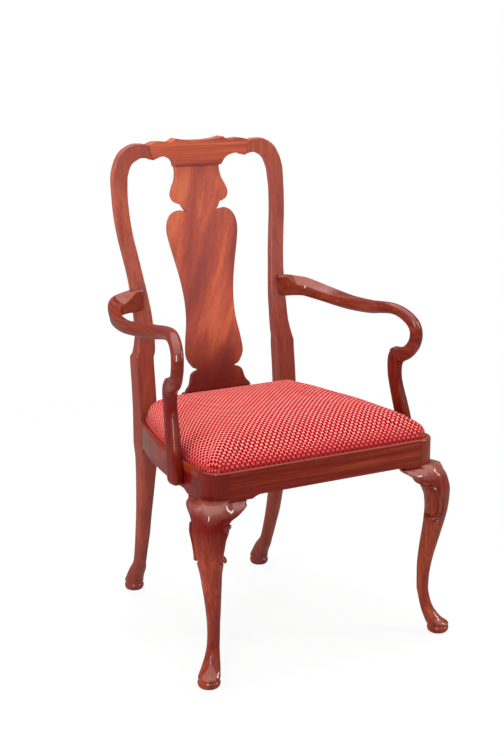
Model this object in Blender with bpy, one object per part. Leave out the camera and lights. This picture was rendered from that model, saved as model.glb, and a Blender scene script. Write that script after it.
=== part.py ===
"""Queen Anne armchair with cabriole front legs, a vase splat, crook arms and a loose slip seat.

The chair faces -Y and stands on the floor at Z = 0. Left and right are as seen from the front
of the picture plane: left is -X. All sizes are in metres.
"""
import math

import bmesh
import bpy
import numpy as np
from mathutils import Matrix, Vector

# Clearances
GAP = 0.0003               # glue line between touching pieces
SEAT_PLAY = 0.0025         # slip seat to the lip of the rails

# Seat rails, in plan and height
RAIL_TOP = 0.4205          # floor to the top edge of the seat rails
RAIL_HEIGHT = 0.053
RAIL_THICK = 0.030
REAR_RAIL_THICK = 0.044
SEAT_HALF_FRONT = 0.267    # centre line to the outer face of the side rail at the front
SEAT_DEPTH = 0.4295        # front face of the front rail to the front face of the rear posts
CORNER_RADIUS = 0.040      # rounded outer corner of the front leg's post
LIP = 0.009                # width of the upstand round the slip seat
LEDGE_DROP = 0.020         # top of the rail down to the ledge that carries the slip seat
TENON_LENGTH = 0.018
TENON_THICK = 0.009
TENON_HEIGHT = 0.022

# Front legs
FOOT_OUT = 0.0070          # foot's centre outside the side rail's face
FOOT_FORWARD = 0.0055      # foot's centre in front of the front rail's face
FRONT_FOOT_RADIUS = 0.0225
LEG_POST = 0.045           # side of the square post above the knee
POST_SINK = 0.012          # how far the post runs down into the knee
KNEE_OUT = 0.0172          # knee in front of the foot's centre, along the diagonal
KNEE_HALF_WIDTH = 0.0395
ANKLE_SET_BACK = 0.0345    # ankle centre behind the foot's centre, along the diagonal
ANKLE_RADIUS = 0.0125
FOOT_DISC = 0.0135         # thickness of the turned disc under each pad foot
KNEE_EAR_FRONT = 0.034     # knee block's rounded ear along the front rail, from the leg's post
KNEE_EAR_SIDE = 0.042      # the same along the side rail
KNEE_TONGUE = 0.030        # thin tongue that carries the block on under the rail
KNEE_BLOCK_DROP = 0.047    # knee block below the rail, at the leg
KNEE_BLOCK_SWELL = 0.0140  # knee block in front of the rail's face, at the leg
KNEE_BLOCK_DEPTH = 0.024   # knee block behind the rail's face
TONGUE_DROP = 0.0065

# Rear posts
REAR_FOOT_IN = 0.0325      # rear foot's centre inside the post's outer face
REAR_FOOT_BACK = 0.1100    # rear foot's centre behind the post's front face
REAR_FOOT_RADIUS = 0.0213
REAR_ANKLE_RADIUS = 0.0143
POST_FRONT = 0.1637        # front face of the post at the rail top
POST_HALF_OUT = 0.1955     # centre line to the outer face of the post
POST_WIDTH = 0.0415
POST_DEPTH = 0.038
SHOULDER = 0.130           # rail top to the shoulder where the square post ends
BACK_RISE = 0.5795         # rail top to the peaks of the crest rail
BACK_SET = 0.0885          # how far the top of the back lies behind the post's front face
STILE_WIDTH = 0.0325
STILE_DEPTH = 0.024

# Crest, splat and shoe
CREST_HALF = 0.1220        # centre line to the crest's end at its top edge
CREST_THICK = 0.027
SPLAT_THICK = 0.010
SPLAT_RECESS = -0.0008     # splat's plane behind the post face at the rail top
SPLAT_LEAN = 0.1925        # set back per unit of rise
SPLAT_HALF_WIDTH = 0.0848
SPLAT_TENON = 0.010
SHOE_HEIGHT = 0.046
SHOE_HALF = 0.083
SHOE_DEPTH = 0.030

# Arms and their supports
ARM_RISE = 0.2300          # rail top to the middle of the arm
ARM_IN = 0.0020            # middle of the arm, at its widest, inside the side rail's face
CROOK_BACK = 0.1010        # foremost middle of the crook behind the front rail's face
CROOK_OUT = 0.0120         # middle of the crook outside the side rail's face
ARM_HEIGHT_AT_POST = 0.042
ARM_WIDTH_AT_POST = 0.022
CROOK_THICK = 0.0250
JOINT_RISE = 0.1425        # rail top to the middle of the joint between arm and support
JOINT_BACK = 0.0485        # middle of that joint behind the foremost middle of the crook
JOINT_LENGTH = 0.040
SUPPORT_WIDTH = 0.024
SUPPORT_DEPTH = 0.042
SUPPORT_FOOT = 0.048       # support's lower end below the rail top

# Corner blocks and slip seat
BLOCK_LEG = 0.060          # corner block along each rail
BLOCK_HEIGHT = 0.026
FRAME_WIDTH = 0.050
FRAME_THICK = 0.018
STRAP_WIDTH = 0.050
STRAP_THICK = 0.0015
STRAPS_EACH_WAY = 3
CUSHION_EDGE = 0.021       # height of the cushion at its front edge, over the webbing
CUSHION_REAR = 0.020       # further height at its rear edge
CUSHION_CROWN = 0.011      # further height at the middle
CUSHION_INSET = 0.007      # cushion edge inside the outer face of the rails

# Derived levels and places
SEAT_FRONT = POST_FRONT - SEAT_DEPTH
FRONT_FOOT = (SEAT_HALF_FRONT + FOOT_OUT, SEAT_FRONT - FOOT_FORWARD)
REAR_FOOT = (POST_HALF_OUT - REAR_FOOT_IN, POST_FRONT + REAR_FOOT_BACK)
CROOK_FRONT = SEAT_FRONT + CROOK_BACK
JOINT_Y = CROOK_FRONT + JOINT_BACK
RAIL_BOTTOM = RAIL_TOP - RAIL_HEIGHT
LEDGE = RAIL_TOP - LEDGE_DROP
FRAME_BASE = LEDGE + GAP
FRAME_TOP = FRAME_BASE + FRAME_THICK
CUSHION_BASE = FRAME_TOP + 2 * STRAP_THICK + 3 * GAP
SHOE_TOP = RAIL_TOP + GAP + SHOE_HEIGHT
POST_HALF_IN = POST_HALF_OUT - POST_WIDTH
WELL_REAR = POST_FRONT - SEAT_PLAY
LEG_POST_X = SEAT_HALF_FRONT - LEG_POST
LEG_POST_Y = SEAT_FRONT + LEG_POST
SIDE_START = SEAT_FRONT + CORNER_RADIUS
SIDE_BOW = (SEAT_HALF_FRONT - POST_HALF_OUT) / (POST_FRONT - SIDE_START) ** 2
BLOCK_TOP = LEDGE - GAP
TENON_MIDDLE = RAIL_BOTTOM + 0.5 * (LEDGE - RAIL_BOTTOM)

MAHOGANY = (0.205, 0.052, 0.026)
OAK = (0.34, 0.20, 0.10)
JUTE = (0.42, 0.31, 0.18)
FABRIC = (0.44, 0.085, 0.075)


def clear_scene():
    """Remove every object of the scene."""
    for obj in list(bpy.data.objects):
        bpy.data.objects.remove(obj, do_unlink=True)


def collection(name):
    """A collection of the scene with this name."""
    coll = bpy.data.collections.new(name)
    bpy.context.scene.collection.children.link(coll)
    return coll


clear_scene()
PARTS = collection("queen_anne_armchair")
CUTTERS = collection("cutters")


def finish(name, colour, roughness):
    """Material of one piece."""
    mat = bpy.data.materials.new(name + "_finish")
    mat.use_nodes = True
    shader = mat.node_tree.nodes["Principled BSDF"]
    shader.inputs["Base Color"].default_value = (*colour, 1.0)
    shader.inputs["Roughness"].default_value = roughness
    shader.inputs["Metallic"].default_value = 0.0
    return mat


def piece(name, mesh, colour=MAHOGANY, roughness=0.25, smooth=True):
    """One visible piece of the chair."""
    obj = bpy.data.objects.new(name, mesh)
    PARTS.objects.link(obj)
    mesh.materials.append(finish(name, colour, roughness))
    if smooth:
        mesh.shade_smooth()
        mesh.set_sharp_from_angle(angle=math.radians(40))
    return obj


def tool(name, mesh):
    """A cutter or an operand, which is no piece of the chair."""
    obj = bpy.data.objects.new(name, mesh)
    CUTTERS.objects.link(obj)
    obj.hide_render = True
    obj.display_type = "WIRE"
    return obj


def boolean(obj, operand, operation):
    """Cut an operand from a piece, or join it on."""
    mod = obj.modifiers.new(operand.name, "BOOLEAN")
    mod.operation = operation
    mod.solver = "EXACT"
    mod.object = operand


def curve_through(stations, at):
    """Values on a smooth curve that keeps the rise and fall of its stations."""
    table = np.array(stations, dtype=float)
    t, values = table[:, 0], table[:, 1:]
    step = np.diff(t)[:, None]
    slope = np.diff(values, axis=0) / step
    tangent = np.vstack([slope[:1], np.zeros_like(slope[1:]), slope[-1:]])
    for i in range(1, len(t) - 1):
        same = slope[i - 1] * slope[i] > 0
        pair = np.where(same, slope[i - 1] + slope[i], 1.0)
        tangent[i] = np.where(same, 2 * slope[i - 1] * slope[i] / pair, 0.0)
    at = np.atleast_1d(np.asarray(at, dtype=float))
    i = np.clip(np.searchsorted(t, at, side="right") - 1, 0, len(t) - 2)
    h = step[i]
    s = ((at - t[i])[:, None]) / h
    return (values[i] * (1 + 2 * s) * (1 - s) ** 2 + tangent[i] * h * s * (1 - s) ** 2
            + values[i + 1] * s * s * (3 - 2 * s) + tangent[i + 1] * h * s * s * (s - 1))


def flowing(points, steps):
    """Points along a smooth path through the given points."""
    pts = [Vector(p) for p in points]
    pts = [2 * pts[0] - pts[1]] + pts + [2 * pts[-1] - pts[-2]]
    path = []
    for a, b, c, d in zip(pts, pts[1:], pts[2:], pts[3:]):
        for k in range(steps):
            s = k / steps
            path.append(b + 0.5 * s * (c - a + s * (2 * a - 5 * b + 4 * c - d + s * (3 * (b - c) + d - a))))
    return path + [pts[-2]]


def section(count, front, back):
    """A rounded section: low powers are round, high powers are square."""
    points = []
    for i in range(count):
        angle = 2 * math.pi * (i + 0.5) / count
        c, s = math.cos(angle), math.sin(angle)
        power = 2 / (front if s < 0 else back)
        points.append((math.copysign(abs(c) ** power, c), math.copysign(abs(s) ** power, s)))
    return points


def ring(centre, across, along, half_across, half_along, count, front, back):
    """One section of a loft, placed in space."""
    return [Vector(centre) + across * (half_across * u) + along * (half_along * v)
            for u, v in section(count, front, back)]


def loft(name, rings):
    """A closed body through sections of equal count."""
    bm = bmesh.new()
    rows = [[bm.verts.new(p) for p in row] for row in rings]
    for low, high in zip(rows, rows[1:]):
        for i in range(len(low)):
            j = (i + 1) % len(low)
            bm.faces.new((low[i], low[j], high[j], high[i]))
    bm.faces.new(rows[0][::-1])
    bm.faces.new(rows[-1])
    bmesh.ops.recalc_face_normals(bm, faces=bm.faces)
    mesh = bpy.data.meshes.new(name)
    bm.to_mesh(mesh)
    bm.free()
    return mesh


def plate(name, outline, thickness, matrix):
    """A flat board: a closed outline with a thickness, placed by a matrix."""
    data = bpy.data.curves.new(name, "CURVE")
    data.dimensions = "2D"
    data.fill_mode = "BOTH"
    data.extrude = thickness / 2
    spline = data.splines.new("POLY")
    spline.points.add(len(outline) - 1)
    for point, (x, y) in zip(spline.points, outline):
        point.co = (x, y, 0, 1)
    spline.use_cyclic_u = True
    obj = bpy.data.objects.new(name + "_outline", data)
    CUTTERS.objects.link(obj)
    graph = bpy.context.evaluated_depsgraph_get()
    mesh = bpy.data.meshes.new_from_object(obj.evaluated_get(graph))
    bpy.data.objects.remove(obj, do_unlink=True)
    bpy.data.curves.remove(data)
    bm = bmesh.new()
    bm.from_mesh(mesh)
    bmesh.ops.remove_doubles(bm, verts=bm.verts, dist=0.00001)
    bmesh.ops.recalc_face_normals(bm, faces=bm.faces)
    bmesh.ops.transform(bm, matrix=matrix, verts=bm.verts)
    bm.to_mesh(mesh)
    bm.free()
    mesh.name = name
    return mesh


def prism(name, outline, low, high):
    """A plan outline standing between two levels."""
    return plate(name, outline, high - low, Matrix.Translation((0, 0, (low + high) / 2)))


def box(name, low, high):
    """A box between two corners."""
    bm = bmesh.new()
    bmesh.ops.create_cube(bm, size=1.0)
    low, high = Vector(low), Vector(high)
    size = high - low
    bmesh.ops.scale(bm, vec=size, verts=bm.verts)
    bmesh.ops.translate(bm, vec=(low + high) / 2, verts=bm.verts)
    mesh = bpy.data.meshes.new(name)
    bm.to_mesh(mesh)
    bm.free()
    return mesh


def mirrored(points, side):
    """Points of the right half brought to one side of the chair."""
    return [Vector((side * p[0], *p[1:])) for p in points]


def side_face(y):
    """Outer face of the bowed side rail, from the centre line."""
    return SEAT_HALF_FRONT - SIDE_BOW * max(y - SIDE_START, 0.0) ** 2


def side_lean(y):
    """How much wider a step along X is than a step square to the side rail."""
    return math.sqrt(1 + (2 * SIDE_BOW * max(y - SIDE_START, 0.0)) ** 2)


def seat_outline(inset, rear, rear_radius=0.012):
    """Plan of the seat inside the rails' outer faces, as a closed outline."""
    half = []
    radius = CORNER_RADIUS - inset
    for k in range(7):
        angle = math.pi / 2 * (k / 6 - 1)
        half.append((SEAT_HALF_FRONT - CORNER_RADIUS + radius * math.cos(angle),
                     SIDE_START + radius * math.sin(angle)))
    last = rear - rear_radius
    for k in range(1, 9):
        y = SIDE_START + (last - SIDE_START) * k / 8
        half.append((side_face(y) - inset * side_lean(y), y))
    corner = half[-1][0] - rear_radius
    for k in range(1, 5):
        angle = math.pi / 2 * k / 4
        half.append((corner + rear_radius * math.cos(angle), last + rear_radius * math.sin(angle)))
    return half + [(-x, y) for x, y in reversed(half)]


def band(outline, low, high):
    """The part of a plan outline between two values of Y."""
    for limit, sign in ((low, 1), (high, -1)):
        kept = []
        for (x0, y0), (x1, y1) in zip(outline, outline[1:] + outline[:1]):
            if sign * (y0 - limit) >= 0:
                kept.append((x0, y0))
            if (y0 - limit) * (y1 - limit) < 0:
                kept.append((x0 + (x1 - x0) * (limit - y0) / (y1 - y0), limit))
        outline = kept
    return outline


def stile_front(rise):
    """Front face of the back at a height over the rail top."""
    share = rise / BACK_RISE
    stations = ((-0.10, 0.0), (0.0, 0.0), (0.138, 0.078), (0.224, 0.140), (0.310, 0.245),
                (0.448, 0.452), (0.586, 0.668), (0.655, 0.765), (0.793, 0.890), (0.931, 0.975), (1.0, 1.0))
    return POST_FRONT + BACK_SET * curve_through(stations, share)[0, 0]


def rear_post(name, side, grow=0.0):
    """Foot, rear leg, raked stile and crook as one body."""
    foot = Vector((REAR_FOOT[0], REAR_FOOT[1]))
    post_x = POST_HALF_OUT - POST_WIDTH / 2
    post_y = POST_FRONT + POST_DEPTH / 2
    ankle = 0.18 * RAIL_TOP
    rows = []
    for z, radius in ((0.0, 0.96), (0.003, 1.0), (FOOT_DISC - 0.001, 1.0), (FOOT_DISC + 0.001, 0.92),
                      (FOOT_DISC + 0.006, 0.97)):
        rows.append((z, foot.x, foot.y, REAR_FOOT_RADIUS * radius, REAR_FOOT_RADIUS * radius, 2.0, 2.0))
    swing = foot.y - post_y
    leg = ((0.081, 0.93, 0.84, 2.0), (0.124, 0.80, 0.74, 2.0), (0.180, 0.64, 0.345, 2.0),
           (0.262, 0.515, 0.36, 2.0), (0.357, 0.39, 0.395, 2.0), (0.452, 0.30, 0.415, 2.0),
           (0.571, 0.19, 0.445, 2.4), (0.690, 0.10, 0.475, 3.2), (0.785, 0.035, 0.495, 6.0))
    for share, back, half, power in leg:
        z = share * RAIL_TOP
        if z < ankle:
            radius = REAR_ANKLE_RADIUS + (REAR_FOOT_RADIUS - REAR_ANKLE_RADIUS) * (half - 0.345) * 1.5
        else:
            radius = REAR_ANKLE_RADIUS + (POST_WIDTH / 2 - REAR_ANKLE_RADIUS) * (half - 0.345) / 0.155
        depth = min(radius, POST_DEPTH / 2)
        x = post_x + (foot.x - post_x) * min(1.0, back + 0.25)
        rows.append((z, x, post_y + swing * back, radius, depth, power, power))
    shoulder = SHOULDER / BACK_RISE
    for share in (-0.09, 0.0, 0.5 * shoulder, shoulder):
        front = stile_front(share * BACK_RISE)
        half = POST_DEPTH / 2 * (1 - 0.35 * max(share, 0))
        rows.append((RAIL_TOP + share * BACK_RISE, post_x, front + half, POST_WIDTH / 2, half, 12.0, 12.0))
    wide = POST_WIDTH / 2 + 0.0006
    slim = STILE_WIDTH / 2
    stile = ((shoulder + 0.012, -0.0026, wide, 5.0), (0.275, -0.0065, wide - 0.001, 3.0),
             (0.310, -0.0083, wide - 0.002, 2.4), (0.379, -0.0077, wide - 0.0026, 2.2),
             (0.448, -0.0050, slim + 0.0013, 2.2), (0.517, -0.0008, slim, 2.2), (0.586, 0.0048, slim, 2.2),
             (0.655, 0.0110, slim, 2.2), (0.724, 0.0155, slim, 2.2), (0.793, 0.0172, slim, 2.2))
    for share, lean, half, power in stile:
        z = RAIL_TOP + share * BACK_RISE
        depth = STILE_DEPTH / 2 + 0.004 * max(0.0, 1 - (share - shoulder) / 0.25)
        rows.append((z, post_x + lean, stile_front(share * BACK_RISE) + depth, half, depth, 9.0, power))
    rings = []
    for z, x, y, half, depth, front, back in rows:
        centre = Vector((side * x, y, z))
        rings.append(ring(centre, Vector((side, 0, 0)), Vector((0, 1, 0)),
                          half + grow, depth + grow, 20, front, back))
    # The crook turns the stile over to the crest rail
    start = post_x + 0.0172
    end = CREST_HALF - 0.0044
    depth = STILE_DEPTH / 2
    for share, height, turn, half in ((0.016, 0.862, 8, slim + 0.001), (0.107, 0.907, 28, slim + 0.0014),
                                      (0.249, 0.937, 45, slim + 0.0017), (0.457, 0.954, 60, slim + 0.0015),
                                      (0.641, 0.9612, 68, slim + 0.0003), (0.833, 0.9595, 73, slim),
                                      (1.0, 0.9542, 75, slim + 0.0007)):
        rise = height * BACK_RISE
        angle = math.radians(turn)
        along = Vector((side * math.cos(angle), 0, math.sin(angle)))
        centre = Vector((side * (start + (end - start) * share), stile_front(rise) + depth, RAIL_TOP + rise))
        rings.append(ring(centre, along, Vector((0, 1, 0)), half + grow, depth + grow, 20, 9.0, 2.6))
    return loft(name, rings)


def smooth_outline(corners, steps=4):
    """Runs of smooth curve that meet at corners, as one outline."""
    points = []
    for run in corners:
        path = flowing([(x, z, 0) for x, z in run], steps)
        points += [(p.x, p.y) for p in path[:-1]]
    last = corners[-1][-1]
    return points + [last]


def splat_half_outline():
    """Right edge of the splat, from its foot up, as shares of the half width and of the rise."""
    low = (SHOE_TOP - RAIL_TOP + SPLAT_THICK * SPLAT_LEAN + GAP) / BACK_RISE
    runs = [
        [(0.93, low), (0.83, 0.099), (0.72, 0.117), (0.66, 0.138), (0.52, 0.152)],
        [(0.52, 0.152), (0.66, 0.164), (0.79, 0.193), (0.815, 0.222), (0.765, 0.276), (0.705, 0.325),
         (0.685, 0.372), (0.695, 0.420), (0.75, 0.482), (0.85, 0.551), (0.94, 0.606), (1.0, 0.656),
         (0.985, 0.690), (0.91, 0.715), (0.80, 0.730), (0.66, 0.737), (0.54, 0.735), (0.43, 0.730)],
        [(0.43, 0.730), (0.515, 0.748), (0.56, 0.760)],
        [(0.56, 0.760), (0.64, 0.763), (0.755, 0.773), (0.815, 0.794), (0.765, 0.820), (0.67, 0.847),
         (0.63, 0.876), (0.635, 0.893)],
    ]
    return [(x * SPLAT_HALF_WIDTH, z * BACK_RISE) for x, z in smooth_outline(runs, 3)]


def crest_lower():
    """Rise of the crest rail's lower edge where the splat meets it."""
    return 0.893 * BACK_RISE + GAP


def crest_half_outline():
    """Right half of the crest rail, from the splat joint round to the middle of its top."""
    foot = 0.0555
    end_high = CREST_HALF - GAP
    end_low = (end_high - 0.0088, 0.9257)
    runs = [
        [(foot, crest_lower() / BACK_RISE), (0.0580, 0.9120), (0.0650, 0.9250), (0.0770, 0.9335),
         (0.0930, 0.9368), end_low],
        [end_low, (end_high, 0.9825)],
        [(end_high, 0.9825), (0.1120, 0.9905), (0.1020, 0.9958), (0.0860, 0.9955), (0.0720, 0.9930)],
        [(0.0720, 0.9930), (0.0640, 0.9955), (0.0565, 1.0)],
        [(0.0565, 1.0), (0.0420, 0.9985), (0.0220, 0.9960), (0.0, 0.9955)],
    ]
    return [(x, z * BACK_RISE) for x, z in smooth_outline(runs, 3)]


def leg_stations():
    """Outer and inner edge, half width and squareness of the cabriole leg over its height."""
    knee = RAIL_BOTTOM
    ankle_out = ANKLE_RADIUS - ANKLE_SET_BACK
    ankle_in = -ANKLE_RADIUS - ANKLE_SET_BACK
    wide = KNEE_HALF_WIDTH
    foot = FRONT_FOOT_RADIUS
    top = FOOT_DISC
    return [
        (0.0, foot * 0.96, -foot * 0.96, foot * 0.96, 2.0),
        (0.003, foot, -foot, foot, 2.0),
        (top - 0.001, foot, -foot, foot, 2.0),
        (top + 0.001, foot * 0.93, -foot * 0.94, foot * 0.93, 2.0),
        (top + 0.006, foot * 0.98, -foot * 1.10, foot * 0.98, 1.9),
        (0.078 * knee, 0.0100, -0.0290, foot * 0.90, 1.8),
        (0.108 * knee, -0.0015, -0.0335, 0.0178, 1.8),
        (0.152 * knee, -0.0125, -0.0385, 0.0148, 1.9),
        (0.202 * knee, -0.0187, -0.0425, 0.0128, 2.0),
        (0.258 * knee, ankle_out, ankle_in + 0.0005, ANKLE_RADIUS, 2.0),
        (0.310 * knee, ankle_out + 0.0005, ankle_in, ANKLE_RADIUS + 0.0003, 2.0),
        (0.380 * knee, -0.0185, -0.0472, 0.0145, 2.0),
        (0.455 * knee, -0.0128, -0.0455, 0.0165, 2.0),
        (0.530 * knee, -0.0055, -0.0425, 0.0190, 2.0),
        (0.600 * knee, 0.0016, -0.0390, 0.0215, 1.9),
        (0.670 * knee, 0.0085, -0.0360, 0.0265, 1.75),
        (0.740 * knee, 0.0140, -0.0345, 0.0325, 1.65),
        (0.810 * knee, KNEE_OUT - 0.0006, -0.0365, wide - 0.0025, 1.6),
        (0.850 * knee, KNEE_OUT, -0.0420, wide, 1.6),
        (0.895 * knee, 0.0130, -0.0500, wide - 0.0010, 1.6),
        (0.945 * knee, 0.0030, -0.0560, wide - 0.0040, 1.6),
        (0.982 * knee, -0.0095, -0.0600, wide - 0.0080, 1.6),
        (1.000 * knee, -0.0215, -0.0620, wide - 0.0120, 1.6),
    ]


def cabriole(name, side, grow=0.0):
    """Curved leg from the floor to the underside of the rails."""
    stations = leg_stations()
    heights = [s[0] for s in stations]
    out = Vector((side, -1, 0)).normalized()
    across = Vector((side, 1, 0)).normalized()
    foot = Vector((side * FRONT_FOOT[0], FRONT_FOOT[1], 0))
    rings = []
    for z, values in zip(heights, curve_through(stations, heights)):
        outer, inner, half, power = values
        centre = foot + out * ((outer + inner) / 2) + Vector((0, 0, z))
        rings.append(ring(centre, across, out, half + grow, (outer - inner) / 2 + grow, 18, power, power))
    return loft(name, rings)


def leg_post(name, side, grow=0.0):
    """Square post over the knee, with its rounded outer corner, sunk a little into the knee."""
    radius = CORNER_RADIUS + grow
    points = [(LEG_POST_X - grow, LEG_POST_Y + grow), (LEG_POST_X - grow, SEAT_FRONT - grow)]
    for k in range(7):
        angle = math.pi / 2 * (k / 6 - 1)
        points.append((SEAT_HALF_FRONT - CORNER_RADIUS + radius * math.cos(angle),
                       SIDE_START + radius * math.sin(angle)))
    points.append((SEAT_HALF_FRONT + grow, LEG_POST_Y + grow))
    return prism(name, [(side * x, y) for x, y in points], RAIL_BOTTOM - POST_SINK - grow, RAIL_TOP)


def rail_rings(stations, low, high, thick, grow=0.0):
    """Upright sections of a rail: outer face points with the direction to its inner face."""
    rings = []
    for outer, inward in stations:
        face = Vector((*outer, 0)) - Vector((*inward, 0)) * grow
        back = Vector((*outer, 0)) + Vector((*inward, 0)) * (thick + grow)
        up, down = Vector((0, 0, high + grow)), Vector((0, 0, low - grow))
        rings.append([face + down, face + up, back + up, back + down])
    return rings


def side_rail(name, side, grow=0.0):
    """Bowed rail between the front leg's post and the rear post."""
    stations = []
    first, last = LEG_POST_Y + GAP, POST_FRONT - GAP
    for k in range(10):
        y = first + (last - first) * k / 9
        stations.append(((side * side_face(y), y), (-side, 0)))
    return loft(name, rail_rings(stations, RAIL_BOTTOM, RAIL_TOP, RAIL_THICK, grow))


# The slip seat drops into one well, cut through the rails and the leg posts
well = tool("seat_well", prism("seat_well", seat_outline(LIP, WELL_REAR, 0.004), LEDGE, RAIL_TOP + LEDGE_DROP))


def tenon(host, guest, low, high, label):
    """A tenon on one piece, and its mortise with a glue line in the other."""
    low, high = Vector([min(a, b) for a, b in zip(low, high)]), Vector([max(a, b) for a, b in zip(low, high)])
    margin = Vector((GAP, GAP, GAP))
    boolean(host, tool(label + "_tenon", box(label + "_tenon", low, high)), "UNION")
    boolean(guest, tool(label + "_mortise", box(label + "_mortise", low - margin, high + margin)), "DIFFERENCE")


# Front and rear rails
front_y = SEAT_FRONT
front_rail = piece("front_rail", loft("front_rail", rail_rings(
    [((x, front_y), (0, 1)) for x in (GAP - LEG_POST_X, LEG_POST_X - GAP)], RAIL_BOTTOM, RAIL_TOP, RAIL_THICK)))
boolean(front_rail, well, "DIFFERENCE")
rear_face = POST_FRONT + POST_DEPTH - 0.006
rear_rail = piece("rear_rail", box("rear_rail", (GAP - POST_HALF_IN, rear_face - REAR_RAIL_THICK, RAIL_BOTTOM),
                                   (POST_HALF_IN - GAP, rear_face, RAIL_TOP)), smooth=False)
boolean(rear_rail, well, "DIFFERENCE")

for word, side in (("left", -1), ("right", 1)):
    # Front leg with its post, knee blocks and the side rail behind it
    leg = piece("front_leg_" + word, cabriole("front_leg_" + word, side))
    boolean(leg, tool("leg_post_" + word, leg_post("leg_post_" + word, side)), "UNION")
    boolean(leg, well, "DIFFERENCE")
    rail = piece("side_rail_" + word, side_rail("side_rail_" + word, side))
    boolean(rail, well, "DIFFERENCE")

    half_t, half_h = TENON_THICK / 2, TENON_HEIGHT / 2
    low, high = TENON_MIDDLE - half_h, TENON_MIDDLE + half_h
    middle = SEAT_FRONT + 0.5 * RAIL_THICK
    tenon(front_rail, leg, (side * (LEG_POST_X - 0.002), middle - half_t, low),
          (side * (LEG_POST_X + TENON_LENGTH), middle + half_t, high), "front_rail_" + word)
    middle = SEAT_HALF_FRONT - 0.5 * RAIL_THICK
    tenon(rail, leg, (side * (middle - half_t), LEG_POST_Y + 0.002, low),
          (side * (middle + half_t), LEG_POST_Y - TENON_LENGTH, high), "side_rail_front_" + word)

    knee = tool("knee_clearance_" + word, cabriole("knee_clearance_" + word, side, 2 * GAP))
    boolean(knee, tool("post_clearance_" + word, leg_post("post_clearance_" + word, side, GAP)), "UNION")
    block_top = RAIL_BOTTOM - GAP
    for where, ear in (("front", KNEE_EAR_FRONT), ("side", KNEE_EAR_SIDE)):
        drop, bulge = KNEE_BLOCK_DROP, KNEE_BLOCK_SWELL
        stations = [(-0.4 * LEG_POST, drop, bulge), (0.0, drop, bulge), (0.28 * ear, 0.84 * drop, bulge),
                    (0.50 * ear, 0.68 * drop, bulge), (0.70 * ear, 0.45 * drop, 0.95 * bulge),
                    (0.87 * ear, 0.29 * drop, 0.80 * bulge), (ear, 0.20 * drop, 0.45 * bulge),
                    (ear + 0.12 * KNEE_TONGUE, TONGUE_DROP, 0.05 * bulge),
                    (ear + 0.40 * KNEE_TONGUE, 0.95 * TONGUE_DROP, 0.0),
                    (ear + 0.70 * KNEE_TONGUE, 0.6 * TONGUE_DROP, 0.0), (ear + KNEE_TONGUE, 4 * GAP, 0.0)]
        rings = []
        for along, fall, swell in stations:
            if where == "front":
                face = Vector((side * (LEG_POST_X - along), SEAT_FRONT, block_top))
                out = Vector((0, -1, 0))
            else:
                y = LEG_POST_Y + along
                face = Vector((side * side_face(y), y, block_top))
                out = Vector((side, 0, 0))
            bow = ((0.35, 0.0), (0.85, 0.16), (1.0, 0.38), (0.92, 0.62), (0.65, 0.86), (0.30, 1.0))
            row = [face + out * (swell * u) - Vector((0, 0, fall * v)) for u, v in bow]
            row.append(face - out * KNEE_BLOCK_DEPTH - Vector((0, 0, fall)))
            row.append(face - out * KNEE_BLOCK_DEPTH)
            rings.append(row)
        block = piece("%s_knee_block_%s" % (where, word), loft("%s_knee_block_%s" % (where, word), rings))
        boolean(block, knee, "DIFFERENCE")

    # Rear post, with mortises for the side and rear rails
    back_post = piece("rear_post_" + word, rear_post("rear_post_" + word, side))
    middle = POST_HALF_OUT - 0.5 * RAIL_THICK + 0.002
    tenon(rail, back_post, (side * (middle - half_t), POST_FRONT - 0.002, low),
          (side * (middle + half_t), POST_FRONT + TENON_LENGTH, high), "side_rail_rear_" + word)
    middle = rear_face - 0.5 * TENON_THICK - 0.008
    tenon(rear_rail, back_post, (side * (POST_HALF_IN - 0.002), middle - half_t, low),
          (side * (POST_HALF_IN + 0.5 * TENON_LENGTH), middle + half_t, high), "rear_rail_" + word)

    # Corner blocks inside the rails
    inner_y = SEAT_FRONT + RAIL_THICK + GAP
    reach = LEG_POST_Y + BLOCK_LEG
    outline = [(LEG_POST_X - GAP, inner_y), (LEG_POST_X - BLOCK_LEG, inner_y),
               (side_face(reach) - RAIL_THICK - 2 * GAP, reach),
               (side_face(LEG_POST_Y) - RAIL_THICK - 2 * GAP, LEG_POST_Y + GAP),
               (LEG_POST_X - GAP, LEG_POST_Y + GAP)]
    plan = [(side * x, y) for x, y in outline]
    name = "front_corner_block_" + word
    piece(name, prism(name, plan, BLOCK_TOP - BLOCK_HEIGHT, BLOCK_TOP), OAK, 0.6, False)
    rear_in = rear_face - REAR_RAIL_THICK - GAP
    reach = rear_in - BLOCK_LEG
    outline = [(POST_HALF_IN - BLOCK_LEG, rear_in), (POST_HALF_IN - GAP, rear_in),
               (side_face(rear_in) - RAIL_THICK - 2 * GAP, rear_in),
               (side_face(reach) - RAIL_THICK - 2 * GAP, reach)]
    plan = [(side * x, y) for x, y in outline]
    name = "rear_corner_block_" + word
    piece(name, prism(name, plan, BLOCK_TOP - BLOCK_HEIGHT, BLOCK_TOP), OAK, 0.6, False)

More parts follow.
